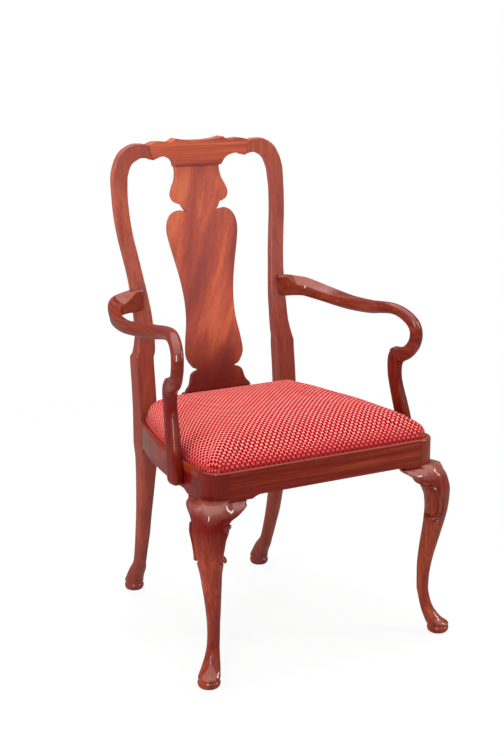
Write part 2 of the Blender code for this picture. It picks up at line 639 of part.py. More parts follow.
    # Shepherd's crook arm
    level = RAIL_TOP + ARM_RISE
    bow, nose = SEAT_HALF_FRONT - ARM_IN, SEAT_HALF_FRONT + CROOK_OUT
    joint = RAIL_TOP + JOINT_RISE
    post_y = stile_front(ARM_RISE + 0.013)
    post_x = POST_HALF_OUT - POST_WIDTH / 2 - 0.006
    front = CROOK_FRONT
    route = [(post_x, post_y + 0.0075, level + 0.0160), (post_x + 0.024, post_y + 0.003, level + 0.0160),
             (post_x + 0.046, post_y - 0.001, level + 0.0150), (post_x + 0.064, post_y - 0.010, level + 0.0128),
             (bow - 0.018, post_y - 0.028, level + 0.0085), (bow - 0.006, post_y - 0.060, level + 0.0025),
             (bow, post_y - 0.110, level - 0.002), (bow - 0.002, post_y - 0.160, level - 0.002),
             (bow - 0.007, front + 0.136, level + 0.0025), (bow - 0.008, front + 0.096, level + 0.008),
             (bow - 0.003, front + 0.058, level + 0.0105), (bow + 0.004, front + 0.029, level + 0.003),
             (nose - 0.003, front + 0.007, level - 0.0135), (nose, front, level - 0.034),
             (nose - 0.001, front + 0.005, joint + 0.0310), (nose - 0.006, front + 0.022, joint + 0.0105)]
    lean = Vector((0, 0.695, -0.72))
    meet = Vector((nose - 0.0115, JOINT_Y, joint))
    route.append(tuple(meet - lean * (GAP / 2)))
    path = flowing(mirrored(route, side), 2)
    slim = CROOK_THICK / 2
    stations = ((0.0, ARM_WIDTH_AT_POST / 2, ARM_HEIGHT_AT_POST / 2),
                (0.22, ARM_WIDTH_AT_POST / 2 + 0.0005, ARM_HEIGHT_AT_POST / 2 - 0.0015),
                (0.40, 0.0130, 0.0170), (0.55, 0.0140, 0.0130), (0.65, 0.0130, slim - 0.001),
                (0.75, slim, slim), (0.92, slim, slim + 0.0015), (0.965, slim, 0.0150),
                (1.0, slim, JOINT_LENGTH / 2))
    sizes = curve_through(stations, [k / (len(path) - 1) for k in range(len(path))])
    rings = []
    flat = None
    for k, point in enumerate(path):
        ahead = (path[min(k + 1, len(path) - 1)] - path[max(k - 1, 0)]).normalized()
        if k == len(path) - 1:
            ahead = lean
        if flat is None:
            flat = ahead.cross(Vector((0, 0, 1))).normalized()
        flat = (flat - ahead * flat.dot(ahead)).normalized()
        rings.append(ring(point, flat, flat.cross(ahead), sizes[k][0], sizes[k][1], 14, 2.4, 2.4))
    arm = piece("arm_" + word, loft("arm_" + word, rings))
    boolean(arm, tool("stile_clearance_" + word, rear_post("stile_clearance_" + word, side, GAP)), "DIFFERENCE")

    # Arm support, lapped on the outside of the side rail
    start = meet + lean * (GAP / 2)
    inside = side_face(JOINT_Y - 0.57 * SUPPORT_DEPTH)
    foot_z = RAIL_TOP - SUPPORT_FOOT
    deep, wide, tall, lap = SUPPORT_DEPTH, SUPPORT_WIDTH, JOINT_RISE, SUPPORT_FOOT
    down = [(tuple(start), JOINT_LENGTH / 2, CROOK_THICK / 2)]
    for sink, back, fall, half_depth, half_width in ((0.02, 0.148, 0.070, 0.488, 0.508),
                                                     (0.03, 0.190, 0.161, 0.464, 0.492),
                                                     (0.04, 0.167, 0.288, 0.429, 0.483)):
        down.append(((start.x - sink * wide, start.y + back * deep, start.z - fall * tall),
                     half_depth * deep, half_width * wide))
    for proud, back, z, half_depth, half_width in (
            (0.15, 0.071, RAIL_TOP + 0.582 * tall, 0.433, 0.488),
            (0.27, -0.190, RAIL_TOP + 0.323 * tall, 0.464, 0.500),
            (0.38, -0.429, RAIL_TOP + 0.070 * tall, 0.476, 0.500),
            (0.42, -0.548, RAIL_TOP - 0.417 * lap, 0.500, 0.500),
            (0.42, -0.595, foot_z + 0.208 * lap, 0.452, 0.500),
            (0.42, -0.607, foot_z + 0.063 * lap, 0.357, 0.417),
            (0.42, -0.607, foot_z, 0.238, 0.292)):
        down.append(((inside + proud * wide, JOINT_Y + back * deep, z), half_depth * deep, half_width * wide))
    rings = []
    for k, (centre, half_depth, half_width) in enumerate(down):
        tilt = max(0.0, 1 - k / 2.5)
        run = Vector((0, lean.y * tilt, -1 + tilt * (1 + lean.z))).normalized()
        across = Vector((side, 0, 0))
        power = 2.4 + 0.5 * max(0, k - 4)
        rings.append(ring(mirrored([centre], side)[0], across, across.cross(run) * side,
                          half_width, half_depth, 14, power, power))
    support = piece("arm_support_" + word, loft("arm_support_" + word, rings))
    clear = tool("rail_clearance_" + word, side_rail("rail_clearance_" + word, side, GAP))
    boolean(support, clear, "DIFFERENCE")

# Splat on its leaning plane, with a tenon in the shoe and one in the crest rail
lean_angle = math.atan(SPLAT_LEAN)
stand = math.cos(lean_angle)
splat_y = POST_FRONT + SPLAT_RECESS


def on_back(front, lean, thickness):
    """Matrix that stands an outline up on a leaning plane whose front face passes a given Y."""
    turn = Matrix.Rotation(math.pi / 2 - math.atan(lean), 4, "X")
    return Matrix.Translation((0, front, RAIL_TOP)) @ turn @ Matrix.Translation((0, 0, -thickness / 2))


edge = [(x, z / stand) for x, z in splat_half_outline()]
splat = piece("splat", plate("splat", edge + [(-x, z) for x, z in reversed(edge)], SPLAT_THICK,
                             on_back(splat_y, SPLAT_LEAN, SPLAT_THICK)))

crest_y = stile_front(0.955 * BACK_RISE)
edge = crest_half_outline()
crest = piece("crest_rail", plate("crest_rail", edge + [(-x, z) for x, z in reversed(edge[:-1])], CREST_THICK,
                                  on_back(crest_y, 0.0, CREST_THICK)))

# Shoe on the rear rail
shoe_front = WELL_REAR + SEAT_PLAY + GAP
profile = [(0.0, 0.0), (SHOE_DEPTH, 0.0), (SHOE_DEPTH, 0.010), (SHOE_DEPTH - 0.003, 0.6 * SHOE_HEIGHT),
           (SHOE_DEPTH - 0.005, SHOE_HEIGHT), (0.004, SHOE_HEIGHT), (0.0025, SHOE_HEIGHT - 0.004),
           (0.0055, SHOE_HEIGHT - 0.010), (0.0035, 0.45 * SHOE_HEIGHT), (0.0, 0.012)]
rings = []
for x in (-SHOE_HALF, SHOE_HALF):
    rings.append([Vector((x, shoe_front + u, RAIL_TOP + GAP + v)) for u, v in profile])
shoe = piece("splat_shoe", loft("splat_shoe", rings))

tenon_half = 0.75 * SPLAT_HALF_WIDTH
low_v, high_v = (SHOE_TOP - RAIL_TOP) / stand, crest_lower() / stand
for label, guest, first, last, half in (
        ("splat_foot", shoe, low_v - SPLAT_TENON, low_v + 0.003, tenon_half),
        ("splat_head", crest, high_v - 0.003, high_v + SPLAT_TENON, 0.5 * SPLAT_HALF_WIDTH)):
    thin = 0.6 * SPLAT_THICK
    place = on_back(splat_y + 0.002, SPLAT_LEAN, thin)
    outline = [(-half, first), (half, first), (half, last), (-half, last)]
    boolean(splat, tool(label + "_tenon", plate(label + "_tenon", outline, thin, place)), "UNION")
    wide, low_cut, high_cut, deep = half + GAP, first - GAP, last + GAP, thin + 2 * GAP
    outline = [(-wide, low_cut), (wide, low_cut), (wide, high_cut), (-wide, high_cut)]
    place = on_back(splat_y + 0.002 - GAP, SPLAT_LEAN, deep)
    boolean(guest, tool(label + "_mortise", plate(label + "_mortise", outline, deep, place)), "DIFFERENCE")

# Loose seat frame, its webbing and the stuffed cushion, which lift out together
lift = bpy.data.objects.new("slip_seat_lift", None)
lift.location = (0, 0, LEDGE)
PARTS.objects.link(lift)
seat_pieces = []


def in_seat(obj):
    """Hang a piece on the slip seat's own origin."""
    obj.parent = lift
    obj.matrix_parent_inverse = Matrix.Translation((0, 0, -LEDGE))
    seat_pieces.append(obj)


frame_rear = WELL_REAR - SEAT_PLAY
outer = seat_outline(LIP + SEAT_PLAY, frame_rear, 0.006)
front_band = SEAT_FRONT + LIP + SEAT_PLAY + FRAME_WIDTH
rear_band = frame_rear - FRAME_WIDTH
for word, low, high in (("front", SEAT_FRONT, front_band), ("rear", rear_band, POST_FRONT)):
    name = "seat_frame_" + word
    bar = piece(name, prism(name, band(outer, low, high), FRAME_BASE, FRAME_TOP), OAK, 0.6, False)
    in_seat(bar)
for word, side in (("left", -1), ("right", 1)):
    rings = []
    for k in range(7):
        y = front_band + GAP + (rear_band - front_band - 2 * GAP) * k / 6
        x = side_face(y) - (LIP + SEAT_PLAY) * side_lean(y)
        rings.append([Vector((side * u, y, v)) for u, v in (
            (x, FRAME_BASE), (x, FRAME_TOP), (x - FRAME_WIDTH, FRAME_TOP), (x - FRAME_WIDTH, FRAME_BASE))])
    bar = piece("seat_frame_" + word, loft("seat_frame_" + word, rings), OAK, 0.6, False)
    in_seat(bar)
pitch = STRAP_WIDTH * 1.6
for k in range(STRAPS_EACH_WAY):
    offset = (k - (STRAPS_EACH_WAY - 1) / 2) * pitch
    z = FRAME_TOP + GAP
    strap = piece("webbing_long_%d" % (k + 1), box("webbing_long_%d" % (k + 1), (
        offset - STRAP_WIDTH / 2, front_band - 0.6 * FRAME_WIDTH, z), (
        offset + STRAP_WIDTH / 2, rear_band + 0.6 * FRAME_WIDTH, z + STRAP_THICK)), JUTE, 0.9, False)
    in_seat(strap)
    z = z + STRAP_THICK + GAP
    y = (front_band + rear_band) / 2 + offset
    x = side_face(y + STRAP_WIDTH / 2) - LIP - SEAT_PLAY - 0.4 * FRAME_WIDTH
    strap = piece("webbing_cross_%d" % (k + 1), box("webbing_cross_%d" % (k + 1), (
        -x, y - STRAP_WIDTH / 2, z), (x, y + STRAP_WIDTH / 2, z + STRAP_THICK)), JUTE, 0.9, False)
    in_seat(strap)

rings = []


def edge_height(y):
    """Height of the cushion's edge, which grows towards the rear."""
    return CUSHION_EDGE + CUSHION_REAR * (y - SEAT_FRONT) / (frame_rear - SEAT_FRONT)


for inset, share in ((0.006, 0.0), (0.0015, 0.16), (0.0, 0.38), (0.0006, 0.62), (0.004, 0.83), (0.010, 0.95)):
    plan = seat_outline(CUSHION_INSET + inset, frame_rear - inset + 0.001, 0.016)
    rings.append([Vector((x, y, CUSHION_BASE + share * edge_height(y))) for x, y in plan])
rim = rings[-1]
middle = Vector((0, (SEAT_FRONT + frame_rear) / 2, 0))
for share in (0.06, 0.16, 0.30, 0.50, 0.72, 0.92):
    crown = CUSHION_CROWN * (1 - (1 - share) ** 2.2)
    row = []
    for point in rim:
        x, y = point.x * (1 - share), point.y + (middle.y - point.y) * share
        row.append(Vector((x, y, CUSHION_BASE + edge_height(y) * (0.95 + 0.05 * share) + crown)))
    rings.append(row)
cushion = piece("seat_cushion", loft("seat_cushion", rings), FABRIC, 0.85)
in_seat(cushion)
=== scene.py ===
"""Looks of an armchair with cabriole legs, crook arms and a lift-out seat, laid out as an add-on."""
import math

import bmesh
import bpy
import numpy as np
from bpy.props import FloatProperty, FloatVectorProperty, IntProperty, PointerProperty
from bpy.types import Operator, Panel, PropertyGroup
from mathutils import Matrix, Vector


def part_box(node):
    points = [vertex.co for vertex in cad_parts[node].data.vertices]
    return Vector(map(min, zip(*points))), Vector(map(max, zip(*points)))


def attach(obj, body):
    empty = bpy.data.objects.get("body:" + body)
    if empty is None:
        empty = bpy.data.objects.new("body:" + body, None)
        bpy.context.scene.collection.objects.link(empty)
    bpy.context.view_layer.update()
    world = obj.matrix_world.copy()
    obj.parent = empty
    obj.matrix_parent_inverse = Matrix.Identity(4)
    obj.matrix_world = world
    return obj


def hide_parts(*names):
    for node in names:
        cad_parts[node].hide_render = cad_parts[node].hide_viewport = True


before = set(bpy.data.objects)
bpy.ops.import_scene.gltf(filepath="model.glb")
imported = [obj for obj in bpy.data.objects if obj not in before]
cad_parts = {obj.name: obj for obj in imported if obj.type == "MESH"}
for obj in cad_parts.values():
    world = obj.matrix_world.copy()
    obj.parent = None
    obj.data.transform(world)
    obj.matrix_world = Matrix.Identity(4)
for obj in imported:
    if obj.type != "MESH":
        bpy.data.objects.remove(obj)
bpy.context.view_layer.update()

bl_info = {
    "name": "Crook-arm Chair",
    "version": (1, 0, 0),
    "blender": (4, 5, 0),
    "location": "View3D > Sidebar > Chair",
    "description": "Dresses the frame of an armchair with carved, polished and upholstered pieces",
    "category": "Add Mesh",
}

# Sizes and places of the chair's own frame, in metres
GAP = 0.0003
RAIL_BOTTOM, RAIL_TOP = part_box("front_rail")[0].z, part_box("front_rail")[1].z
SEAT_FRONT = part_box("front_rail")[0].y
RAIL_THICK = 0.030
RAIL_ROUND = 0.0036
SEAT_HALF = 0.267
CORNER_RADIUS = 0.040
LIP = 0.009
SEAT_PLAY = 0.0025
LEDGE = RAIL_TOP - 0.020
SIDE_START = SEAT_FRONT + CORNER_RADIUS
LEG_POST = 0.045
LEG_POST_X = SEAT_HALF - LEG_POST
LEG_POST_Y = SEAT_FRONT + LEG_POST
FRONT_FOOT = Vector((0.274, -0.2713, 0.0))
REAR_FOOT = (0.163, 0.2737)
REAR_FOOT_RADIUS = 0.0213
REAR_ANKLE_RADIUS = 0.0143
POST_FRONT = 0.1637
POST_HALF_OUT = 0.1955
POST_WIDTH = 0.0415
POST_DEPTH = 0.038
SHOULDER = 0.130
BACK_RISE = 0.5795
BACK_SET = 0.0885
STILE_WIDTH = 0.0325
STILE_DEPTH = 0.024
CREST_HALF = 0.122
CREST_THICK = 0.027
SPLAT_THICK = 0.010
SPLAT_LEAN = 0.1925
SPLAT_HALF = 0.0848
SHOE_HEIGHT = 0.0405
SHOE_HALF = 0.083
SHOE_DEPTH = 0.030
WELL_REAR = 0.1612
CROOK_FRONT = -0.1648
JOINT_Y, JOINT_RISE = -0.1163, 0.1425
JOINT_HALF_WIDTH, JOINT_HALF_HEIGHT = 0.0125, 0.0200
SEAT_REAR = WELL_REAR - SEAT_PLAY
FRAME_BASE, FRAME_TOP = LEDGE + GAP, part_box("seat_frame_front")[1].z
CUSHION_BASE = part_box("seat_cushion")[0].z
SIDE_BOW = (SEAT_HALF - POST_HALF_OUT) / (POST_FRONT - SIDE_START) ** 2
BRACKET = 0.0066
LEG_TOP = RAIL_BOTTOM - BRACKET
# Brackets of the rails: where the edge starts to rise beside a front leg's post, and over what length
LEFT_BRACKET, RIGHT_BRACKET, SIDE_BRACKET = (0.049, 0.020), (0.031, 0.012), (0.048, 0.020)
# Stuffed seat over the rails: height of its edge, what the rear and the sides add to that, and its crown
SEAT_EDGE, SEAT_REAR_LIFT, SEAT_SIDE_LIFT, SEAT_CROWN = 0.0275, 0.0375, 0.0065, 0.0665
STRAP_THICK = 0.0012
COVER_THICK = 0.0007
# The photograph's view: place of the camera, then its turn round the chair and its rise in degrees
CAMERA_PLACE, CAMERA_AZIMUTH, CAMERA_RISE = (-1.6543, -2.7713, 1.2999), -30.565, 13.548
UP = (0, 0, 1)


def linear(red, green, blue):
    """A colour as scene light, from the numbers of a picture editor."""
    return tuple(((c / 255 + 0.055) / 1.055) ** 2.4 if c > 10 else c / 3294.6 for c in (red, green, blue))


# Settings

def metres(name, description, default):
    """A setting in metres."""
    return FloatProperty(name=name, description=description, default=default, unit="LENGTH")


def watts(name, description, default):
    """A lamp's power."""
    return FloatProperty(name=name, description=description, default=default, unit="POWER")


def tint(name, description, *numbers):
    """A colour, by the numbers of a picture editor."""
    return FloatVectorProperty(name=name, description=description, default=linear(*numbers), subtype="COLOR",
                               size=3)


class ChairSizes(PropertyGroup):
    """Sizes that shape the carved and stuffed pieces."""
    around: IntProperty(name="Around", description="Points round a leg's section",
                        default=360, min=16, max=400)
    ring_step: metres("Ring Step", "Distance between sections of a turned or carved piece", 0.0035)
    bead: metres("Scroll Bead", "Radius of the raised scroll beside each knee", 0.0020)
    panel_depth: metres("Panel Depth", "Depth of the hollow behind the scroll", 0.0044)
    soft_edge: metres("Soft Edge", "Rounding of sawn edges", 0.0011)
    swell: metres("Swell", "Most that the stuffing may push the cover out", 0.006)
    cloth_grid: metres("Cloth Grid", "Size of the cover's squares for the simulation", 0.005)


class ChairFinishes(PropertyGroup):
    """Colours of the wood and the cloth."""
    wood_dark: tint("Wood, Dark", "Dark streaks of the polished wood", 94, 4, 3)
    wood_mid: tint("Wood", "Body of the polished wood", 120, 33, 10)
    wood_light: tint("Wood, Light", "Light streaks of the polished wood", 150, 62, 27)
    cloth_ground: tint("Lattice", "Pale lattice of the seat cloth", 255, 202, 186)
    cloth_halo: tint("Halo", "Red round each oval of the seat cloth", 238, 46, 52)
    cloth_oval: tint("Oval", "Dark oval of the seat cloth", 118, 2, 10)
    lattice: metres("Lattice Pitch", "Distance between ovals of one row", 0.0114)


class ChairStage(PropertyGroup):
    """Light and camera of the picture."""
    sky: FloatProperty(name="Sky", description="Light from all round", default=0.26)
    left_lamp: watts("Left Lamp", "Tall lamp on the left", 36.0)
    side_lamp: watts("Side Lamp", "Wide lamp beside the chair, without a reflection", 34.0)
    right_lamp: watts("Right Lamp", "Tall lamp on the right", 34.0)
    top_lamp: watts("Top Lamp", "Wide lamp overhead, without a reflection", 60.0)
    lens: FloatProperty(name="Lens", description="Focal length in millimetres", default=76.05)


# Finishes

def operator_pair(operation):
    """An arithmetic operator of sockets and its reflected form, as a Math node."""
    return (lambda self, other: self.math(operation, self, other),
            lambda self, other: self.math(operation, other, self))


class Sock:
    """A socket of a finish; arithmetic on it adds Math nodes."""

    def __init__(self, finish, socket):
        self.finish, self.socket = finish, socket

    def math(self, operation, first, second):
        """A Math node on two numbers or sockets."""
        return self.finish.add("ShaderNodeMath", {"operation": operation}, {0: first, 1: second})

    __add__, __radd__ = operator_pair("ADD")
    __sub__, __rsub__ = operator_pair("SUBTRACT")
    __mul__, __rmul__ = operator_pair("MULTIPLY")
    __truediv__, __rtruediv__ = operator_pair("DIVIDE")
    __pow__, __rpow__ = operator_pair("POWER")


class Finish:
    """Nodes of one material or of the world."""

    def __init__(self, owner):
        owner.use_nodes = True
        self.owner, self.tree = owner, owner.node_tree

    def add(self, kind, settings=None, sockets=None, output=0):
        """A node of a kind, its settings first, then the values or links of its sockets."""
        node = self.tree.nodes.new(kind)
        for key, value in (settings or {}).items():
            if key == "stops":
                while len(node.color_ramp.elements) < len(value):
                    node.color_ramp.elements.new(0.5)
                for stop, (place, colour) in zip(node.color_ramp.elements, value):
                    stop.position, stop.color = place, (*colour, 1.0)
            else:
                setattr(node, key, value)
        for key, value in (sockets or {}).items():
            self.feed(node.inputs[key], value)
        return Sock(self, node.outputs[output])

    def feed(self, socket, value):
        """Link a socket, or set its value."""
        if isinstance(value, Sock):
            self.tree.links.new(value.socket, socket)
        else:
            socket.default_value = value

    def surface(self, **sockets):
        """Sockets of the main shader, with words joined by underscores."""
        for key, value in sockets.items():
            self.feed(self.tree.nodes["Principled BSDF"].inputs[key.replace("_", " ")], value)
        return self.owner

    def noise(self, vector, scale, detail=2.0, roughness=0.5, distortion=0.0):
        """Noise on a place, with a scale for each axis."""
        return self.add("ShaderNodeTexNoise", None,
                        {"Vector": self.mapped(vector, scale), "Scale": 1.0, "Detail": detail,
                         "Roughness": roughness, "Distortion": distortion})

    def wave(self, vector, way, scale, distortion, detail):
        """Threads that lie side by side along an axis."""
        return self.add("ShaderNodeTexWave", {"bands_direction": way},
                        {"Vector": vector, "Scale": scale, "Distortion": distortion, "Detail Scale": detail})

    def ramp(self, value, *stops):
        """A colour by a value, from stops that each have a place and a colour."""
        return self.add("ShaderNodeValToRGB", {"stops": stops}, {0: value})

    def rise(self, value, low, high):
        """0 at low, 1 at high, smooth between."""
        return self.add("ShaderNodeMapRange", {"interpolation_type": "SMOOTHSTEP"},
                        {"Value": value, "From Min": low, "From Max": high})

    def mix(self, share, first, second):
        """A share of the second colour over the first."""
        pair = [value if isinstance(value, Sock) else (*value, 1.0) for value in (first, second)]
        return self.add("ShaderNodeMix", {"data_type": "RGBA"}, {0: share, 6: pair[0], 7: pair[1]}, 2)

    def mapped(self, vector, scale=(1, 1, 1), turn=(0, 0, 0), shift=(0, 0, 0)):
        """A place after scaling, turning and shifting."""
        return self.add("ShaderNodeMapping", None,
                        {"Vector": vector, "Scale": scale, "Rotation": turn, "Location": shift})

    def object_place(self):
        """The place on the piece itself."""
        return self.add("ShaderNodeTexCoord", None, None, 3)

    def along(self, vector, way):
        """How far a place lies along a direction."""
        return self.add("ShaderNodeVectorMath", {"operation": "DOT_PRODUCT"}, {0: vector, 1: way}, 1)

    def bump(self, height, strength, distance):
        """A normal that follows a height."""
        return self.add("ShaderNodeBump", None,
                        {"Height": height, "Strength": strength, "Distance": distance})

    def rays(self):
        """Whether a ray comes from the camera, also through glass, and whether from a reflection."""
        seen, glossy, through = (self.add("ShaderNodeLightPath", None, None, k) for k in (0, 3, 6))
        return seen.math("MAXIMUM", seen, through), glossy


def made_once(build):
    """A finish that is built the first time its name is asked for, and kept after that."""
    def finish(name, *values, **settings):
        made = bpy.data.materials.get(name)
        return made or build(Finish(bpy.data.materials.new(name)), *values, **settings)
    return finish


def toned(colour, lift, warm=1.0):
    """A colour made lighter or darker, and warmer or browner."""
    return (min(1.0, colour[0] * lift * warm), min(1.0, colour[1] * lift), min(1.0, colour[2] * lift / warm))


def drawn_out(grain, across, along):
    """Scale of a texture that is drawn out along one axis."""
    return [along if axis == grain else across for axis in "XYZ"]


# pale colours of painted sheen: a veil over the polish, and a band round the top of each knee
SHEEN_COLOUR, KNEE_SHEEN_COLOUR = linear(244, 206, 190), linear(206, 138, 122)


@made_once
def polished_wood(f, grain, lift=1.0, warm=1.0, turn=(0, 0, 0), shift=(0, 0, 0), calm=1.0, broad=0.36,
                  foot=None, fade=0.0, painted_sheen=0.0, crown=0.0):
    """Polished wood with its grain along one axis.

    calm brings its tones closer together, and broad is the share of its wide bands. foot has the height where
    the wood is darkest, the height where that ends and how much it is, and fade takes that back towards the
    right: painted shade, which darkens all of a piece that lies on its dark side. bleach is a painted sheen,
    a pale haze all over, and crown a painted sheen in a pale band round the top of the knee.
    """
    colours = bpy.context.scene.chair_finishes
    shades = (colours.wood_dark, colours.wood_mid, colours.wood_light)
    dark, mid, light = (toned(shade, lift, warm) for shade in shades)
    own = f.object_place()
    place = f.mapped(own, turn=turn, shift=shift)
    bands = f.noise(place, drawn_out(grain, 13, 1.6), 2.0, 0.5, 0.8)
    streaks = f.noise(place, drawn_out(grain, 100, 2.6), 4.0, 0.6, 0.15)
    fibres = f.noise(place, drawn_out(grain, 480, 8), 3.0, 0.6)
    pores = f.rise(f.noise(place, drawn_out(grain, 1050, 30), 1.0), 0.60, 0.70)
    fine = 1 - broad
    tone = bands * broad + streaks * (0.6 * fine) + fibres * (0.4 * fine)
    spread = 0.105 * calm
    colour = f.ramp(tone, (0.5 - spread, dark), (0.5, mid), (0.5 + spread, light))
    colour = f.mix(pores * 0.40, colour, toned(dark, 0.5))
    # painted sheen: a pale veil mixed over all the wood
    colour = f.mix(painted_sheen, colour, SHEEN_COLOUR)
    # painted shade: the wood darker towards one height, and less so towards the right where fade is set
    if foot:
        low, high, share = foot
        share = share * (1 - fade * f.rise(f.along(own, (1, 0, 0)), -0.2, 0.2))
        colour = f.mix((1 - f.rise(f.along(own, UP), low, high)) * share, colour, colours.wood_dark)
    # painted sheen: a pale band round the top of the knee, just under the rail
    if crown:
        height = f.along(own, UP)
        wear_and_sheen = f.rise(height, LEG_TOP - 0.024, LEG_TOP - 0.004)
        wear_and_sheen = wear_and_sheen * (1 - f.rise(height, RAIL_BOTTOM - 0.0016, RAIL_BOTTOM - 0.0004))
        colour = f.mix(wear_and_sheen * crown, colour, KNEE_SHEEN_COLOUR)
    return f.surface(Base_Color=colour, Roughness=0.34 + 0.14 * streaks + 0.10 * pores,
                     Specular_IOR_Level=0.06, Coat_Weight=0.65, Coat_Roughness=0.07,
                     Normal=f.bump(fibres * 0.3 - pores, 0.03, 0.0003))


@made_once
def bare_wood(f, grain, turn=(0, 0, 0)):
    """Sawn, unpolished wood of the hidden frame."""
    place = f.mapped(f.object_place(), turn=turn)
    rings = f.noise(place, drawn_out(grain, 60, 2.2), 3.0, 0.55, 0.5)
    fibres = f.noise(place, drawn_out(grain, 520, 14), 3.0, 0.6)
    stains = f.noise(place, (7, 7, 7), 3.0)
    colour = f.ramp(rings * 0.7 + fibres * 0.3, (0.34, linear(142, 108, 74)), (0.52, linear(176, 141, 102)),
                    (0.66, linear(199, 168, 128)))
    colour = f.mix(f.rise(stains, 0.5, 0.75) * 0.35, colour, linear(128, 96, 66))
    return f.surface(Base_Color=colour, Roughness=0.62 + 0.2 * fibres, Specular_IOR_Level=0.3,
                     Normal=f.bump(fibres, 0.35, 0.0005))


@made_once
def jute(f, along, across):
    """Woven webbing, for straps along one axis."""
    place = f.object_place()
    threads = f.noise(place, [{along: 1500, across: 700}.get(axis, 900) for axis in "XYZ"])
    cloth = f.wave(place, across, 130.0, 1.2, 4.0) * 0.5 + f.wave(place, along, 100.0, 1.2, 4.0) * 0.5
    colour = f.ramp(cloth * 0.6 + threads * 0.4, (0.2, linear(120, 98, 66)), (0.5, linear(172, 148, 108)),
                    (0.8, linear(205, 184, 146)))
    return f.surface(Base_Color=colour, Roughness=0.9 - 0.1 * threads, Specular_IOR_Level=0.2,
                     Normal=f.bump(cloth, 0.6, 0.0006))


@made_once
def hessian(f):
    """Plain loose-woven lining under the stuffing."""
    place = f.object_place()
    cloth = f.wave(place, "X", 160.0, 2.0, 3.0) * f.wave(place, "Y", 160.0, 2.0, 3.0)
    slubs = f.noise(place, (120, 30, 60), 4.0)
    colour = f.ramp(cloth * 0.6 + slubs * 0.4, (0.05, linear(108, 86, 58)), (0.5, linear(160, 134, 98)),
                    (0.9, linear(190, 166, 126)))
    return f.surface(Base_Color=colour, Roughness=0.92 - 0.05 * slubs, Specular_IOR_Level=0.15,
                     Normal=f.bump(cloth, 0.7, 0.0006))


# Half width and half height of the cloth's ovals, as shares of the lattice's pitch
OVAL = (0.242, 0.360)


@made_once
def seat_cloth(f):
    """Red cloth with a pale lattice round staggered dark ovals, on the cover's own unrolled place, with
    painted shade down its edges.
    """
    colours = bpy.context.scene.chair_finishes
    place = f.add("ShaderNodeAttribute", {"attribute_name": "cover"}, None, 1)
    cells = f.mapped(place, [1 / colours.lattice] * 3)
    axes = [f.add("ShaderNodeSeparateXYZ", None, {0: cells}, k) for k in (0, 1)]

    def oval(shift):
        """How far from the nearest oval's middle, 1 on its edge."""
        parts = []
        for axis, half in zip(axes, OVAL):
            off = axis + (0.5 + shift)
            off = off - off.math("FLOOR", off, 0.0) - 0.5
            parts.append((off / half) ** 2.0)
        return parts[0] + parts[1]

    near = axes[0].math("MINIMUM", oval(0.0), oval(0.5))
    wear_and_sheen = f.noise(place, (16, 16, 16), 3.0, 0.6)
    yarn = f.noise(place, (900, 420, 1))
    ribs = f.wave(place, "Y", 330.0, 1.0, 2.0)
    pale = f.mix(f.rise(near, 1.25, 1.95), colours.cloth_halo, colours.cloth_ground)
    pale = f.mix(f.rise(wear_and_sheen, 0.40, 0.80) * 0.30, pale, colours.cloth_halo)
    colour = f.mix(f.rise(near, 0.84, 1.20), colours.cloth_oval, pale)
    colour = f.mix((1 - yarn) * 0.06, colour, colours.cloth_oval)
    # painted shade: the cloth darker and redder down the edges of the stuffing, towards the rails
    edge = 1 - f.rise(f.along(f.object_place(), UP), RAIL_TOP + 0.004, RAIL_TOP + 0.034)
    colour = f.mix(edge * 0.60, colour, linear(158, 5, 18))
    height = f.rise(near, 0.6, 1.8) * 0.8 + ribs * 0.25 + yarn * 0.35
    return f.surface(Base_Color=colour, Roughness=0.86 - 0.12 * yarn, Specular_IOR_Level=0.18,
                     Sheen_Weight=0.03, Normal=f.bump(height, 0.55, 0.0007))


# Modelling by hand

def pick(obj):
    """Make one object the only selected one."""
    if bpy.context.object and bpy.context.object.mode != "OBJECT":
        bpy.ops.object.mode_set(mode="OBJECT")
    bpy.ops.object.select_all(action="DESELECT")
    obj.select_set(True)
    bpy.context.view_layer.objects.active = obj


def apply(obj, kind, **settings):
    """Add a modifier and apply it."""
    pick(obj)
    bpy.ops.object.modifier_add(type=kind)
    mod = obj.modifiers[-1]
    for key, value in settings.items():
        setattr(mod, key, value)
    bpy.ops.object.modifier_apply(modifier=mod.name)
    return obj


def start_disc(name, count, fill="NGON"):
    """A disc of so many points, left in edit mode with all of it selected."""
    bpy.ops.object.select_all(action="DESELECT")
    bpy.ops.mesh.primitive_circle_add(vertices=count, fill_type=fill, location=(0, 0, 0))
    obj = bpy.context.object
    obj.name = obj.data.name = name
    bpy.ops.object.mode_set(mode="EDIT")
    bpy.ops.mesh.select_mode(type="FACE")
    bpy.ops.mesh.select_all(action="SELECT")
    return obj


def close_up(obj):
    """Merge double points, turn the faces outwards and leave edit mode."""
    bpy.ops.mesh.select_all(action="SELECT")
    bpy.ops.mesh.remove_doubles(threshold=0.00001)
    bpy.ops.mesh.normals_make_consistent(inside=False)
    bpy.ops.object.mode_set(mode="OBJECT")
    return obj


def drawn_body(name, rings):
    """A disc set on the first section and extruded to each of the next ones."""
    obj = start_disc(name, len(rings[0]))
    for k, places in enumerate(rings):
        if k:
            bpy.ops.mesh.extrude_region_move()
        mesh = bmesh.from_edit_mesh(obj.data)
        cap = next(face for face in mesh.faces if face.select)
        for loop, point in zip(cap.loops, places):
            loop.vert.co = point
    bmesh.update_edit_mesh(obj.data)
    return close_up(obj)


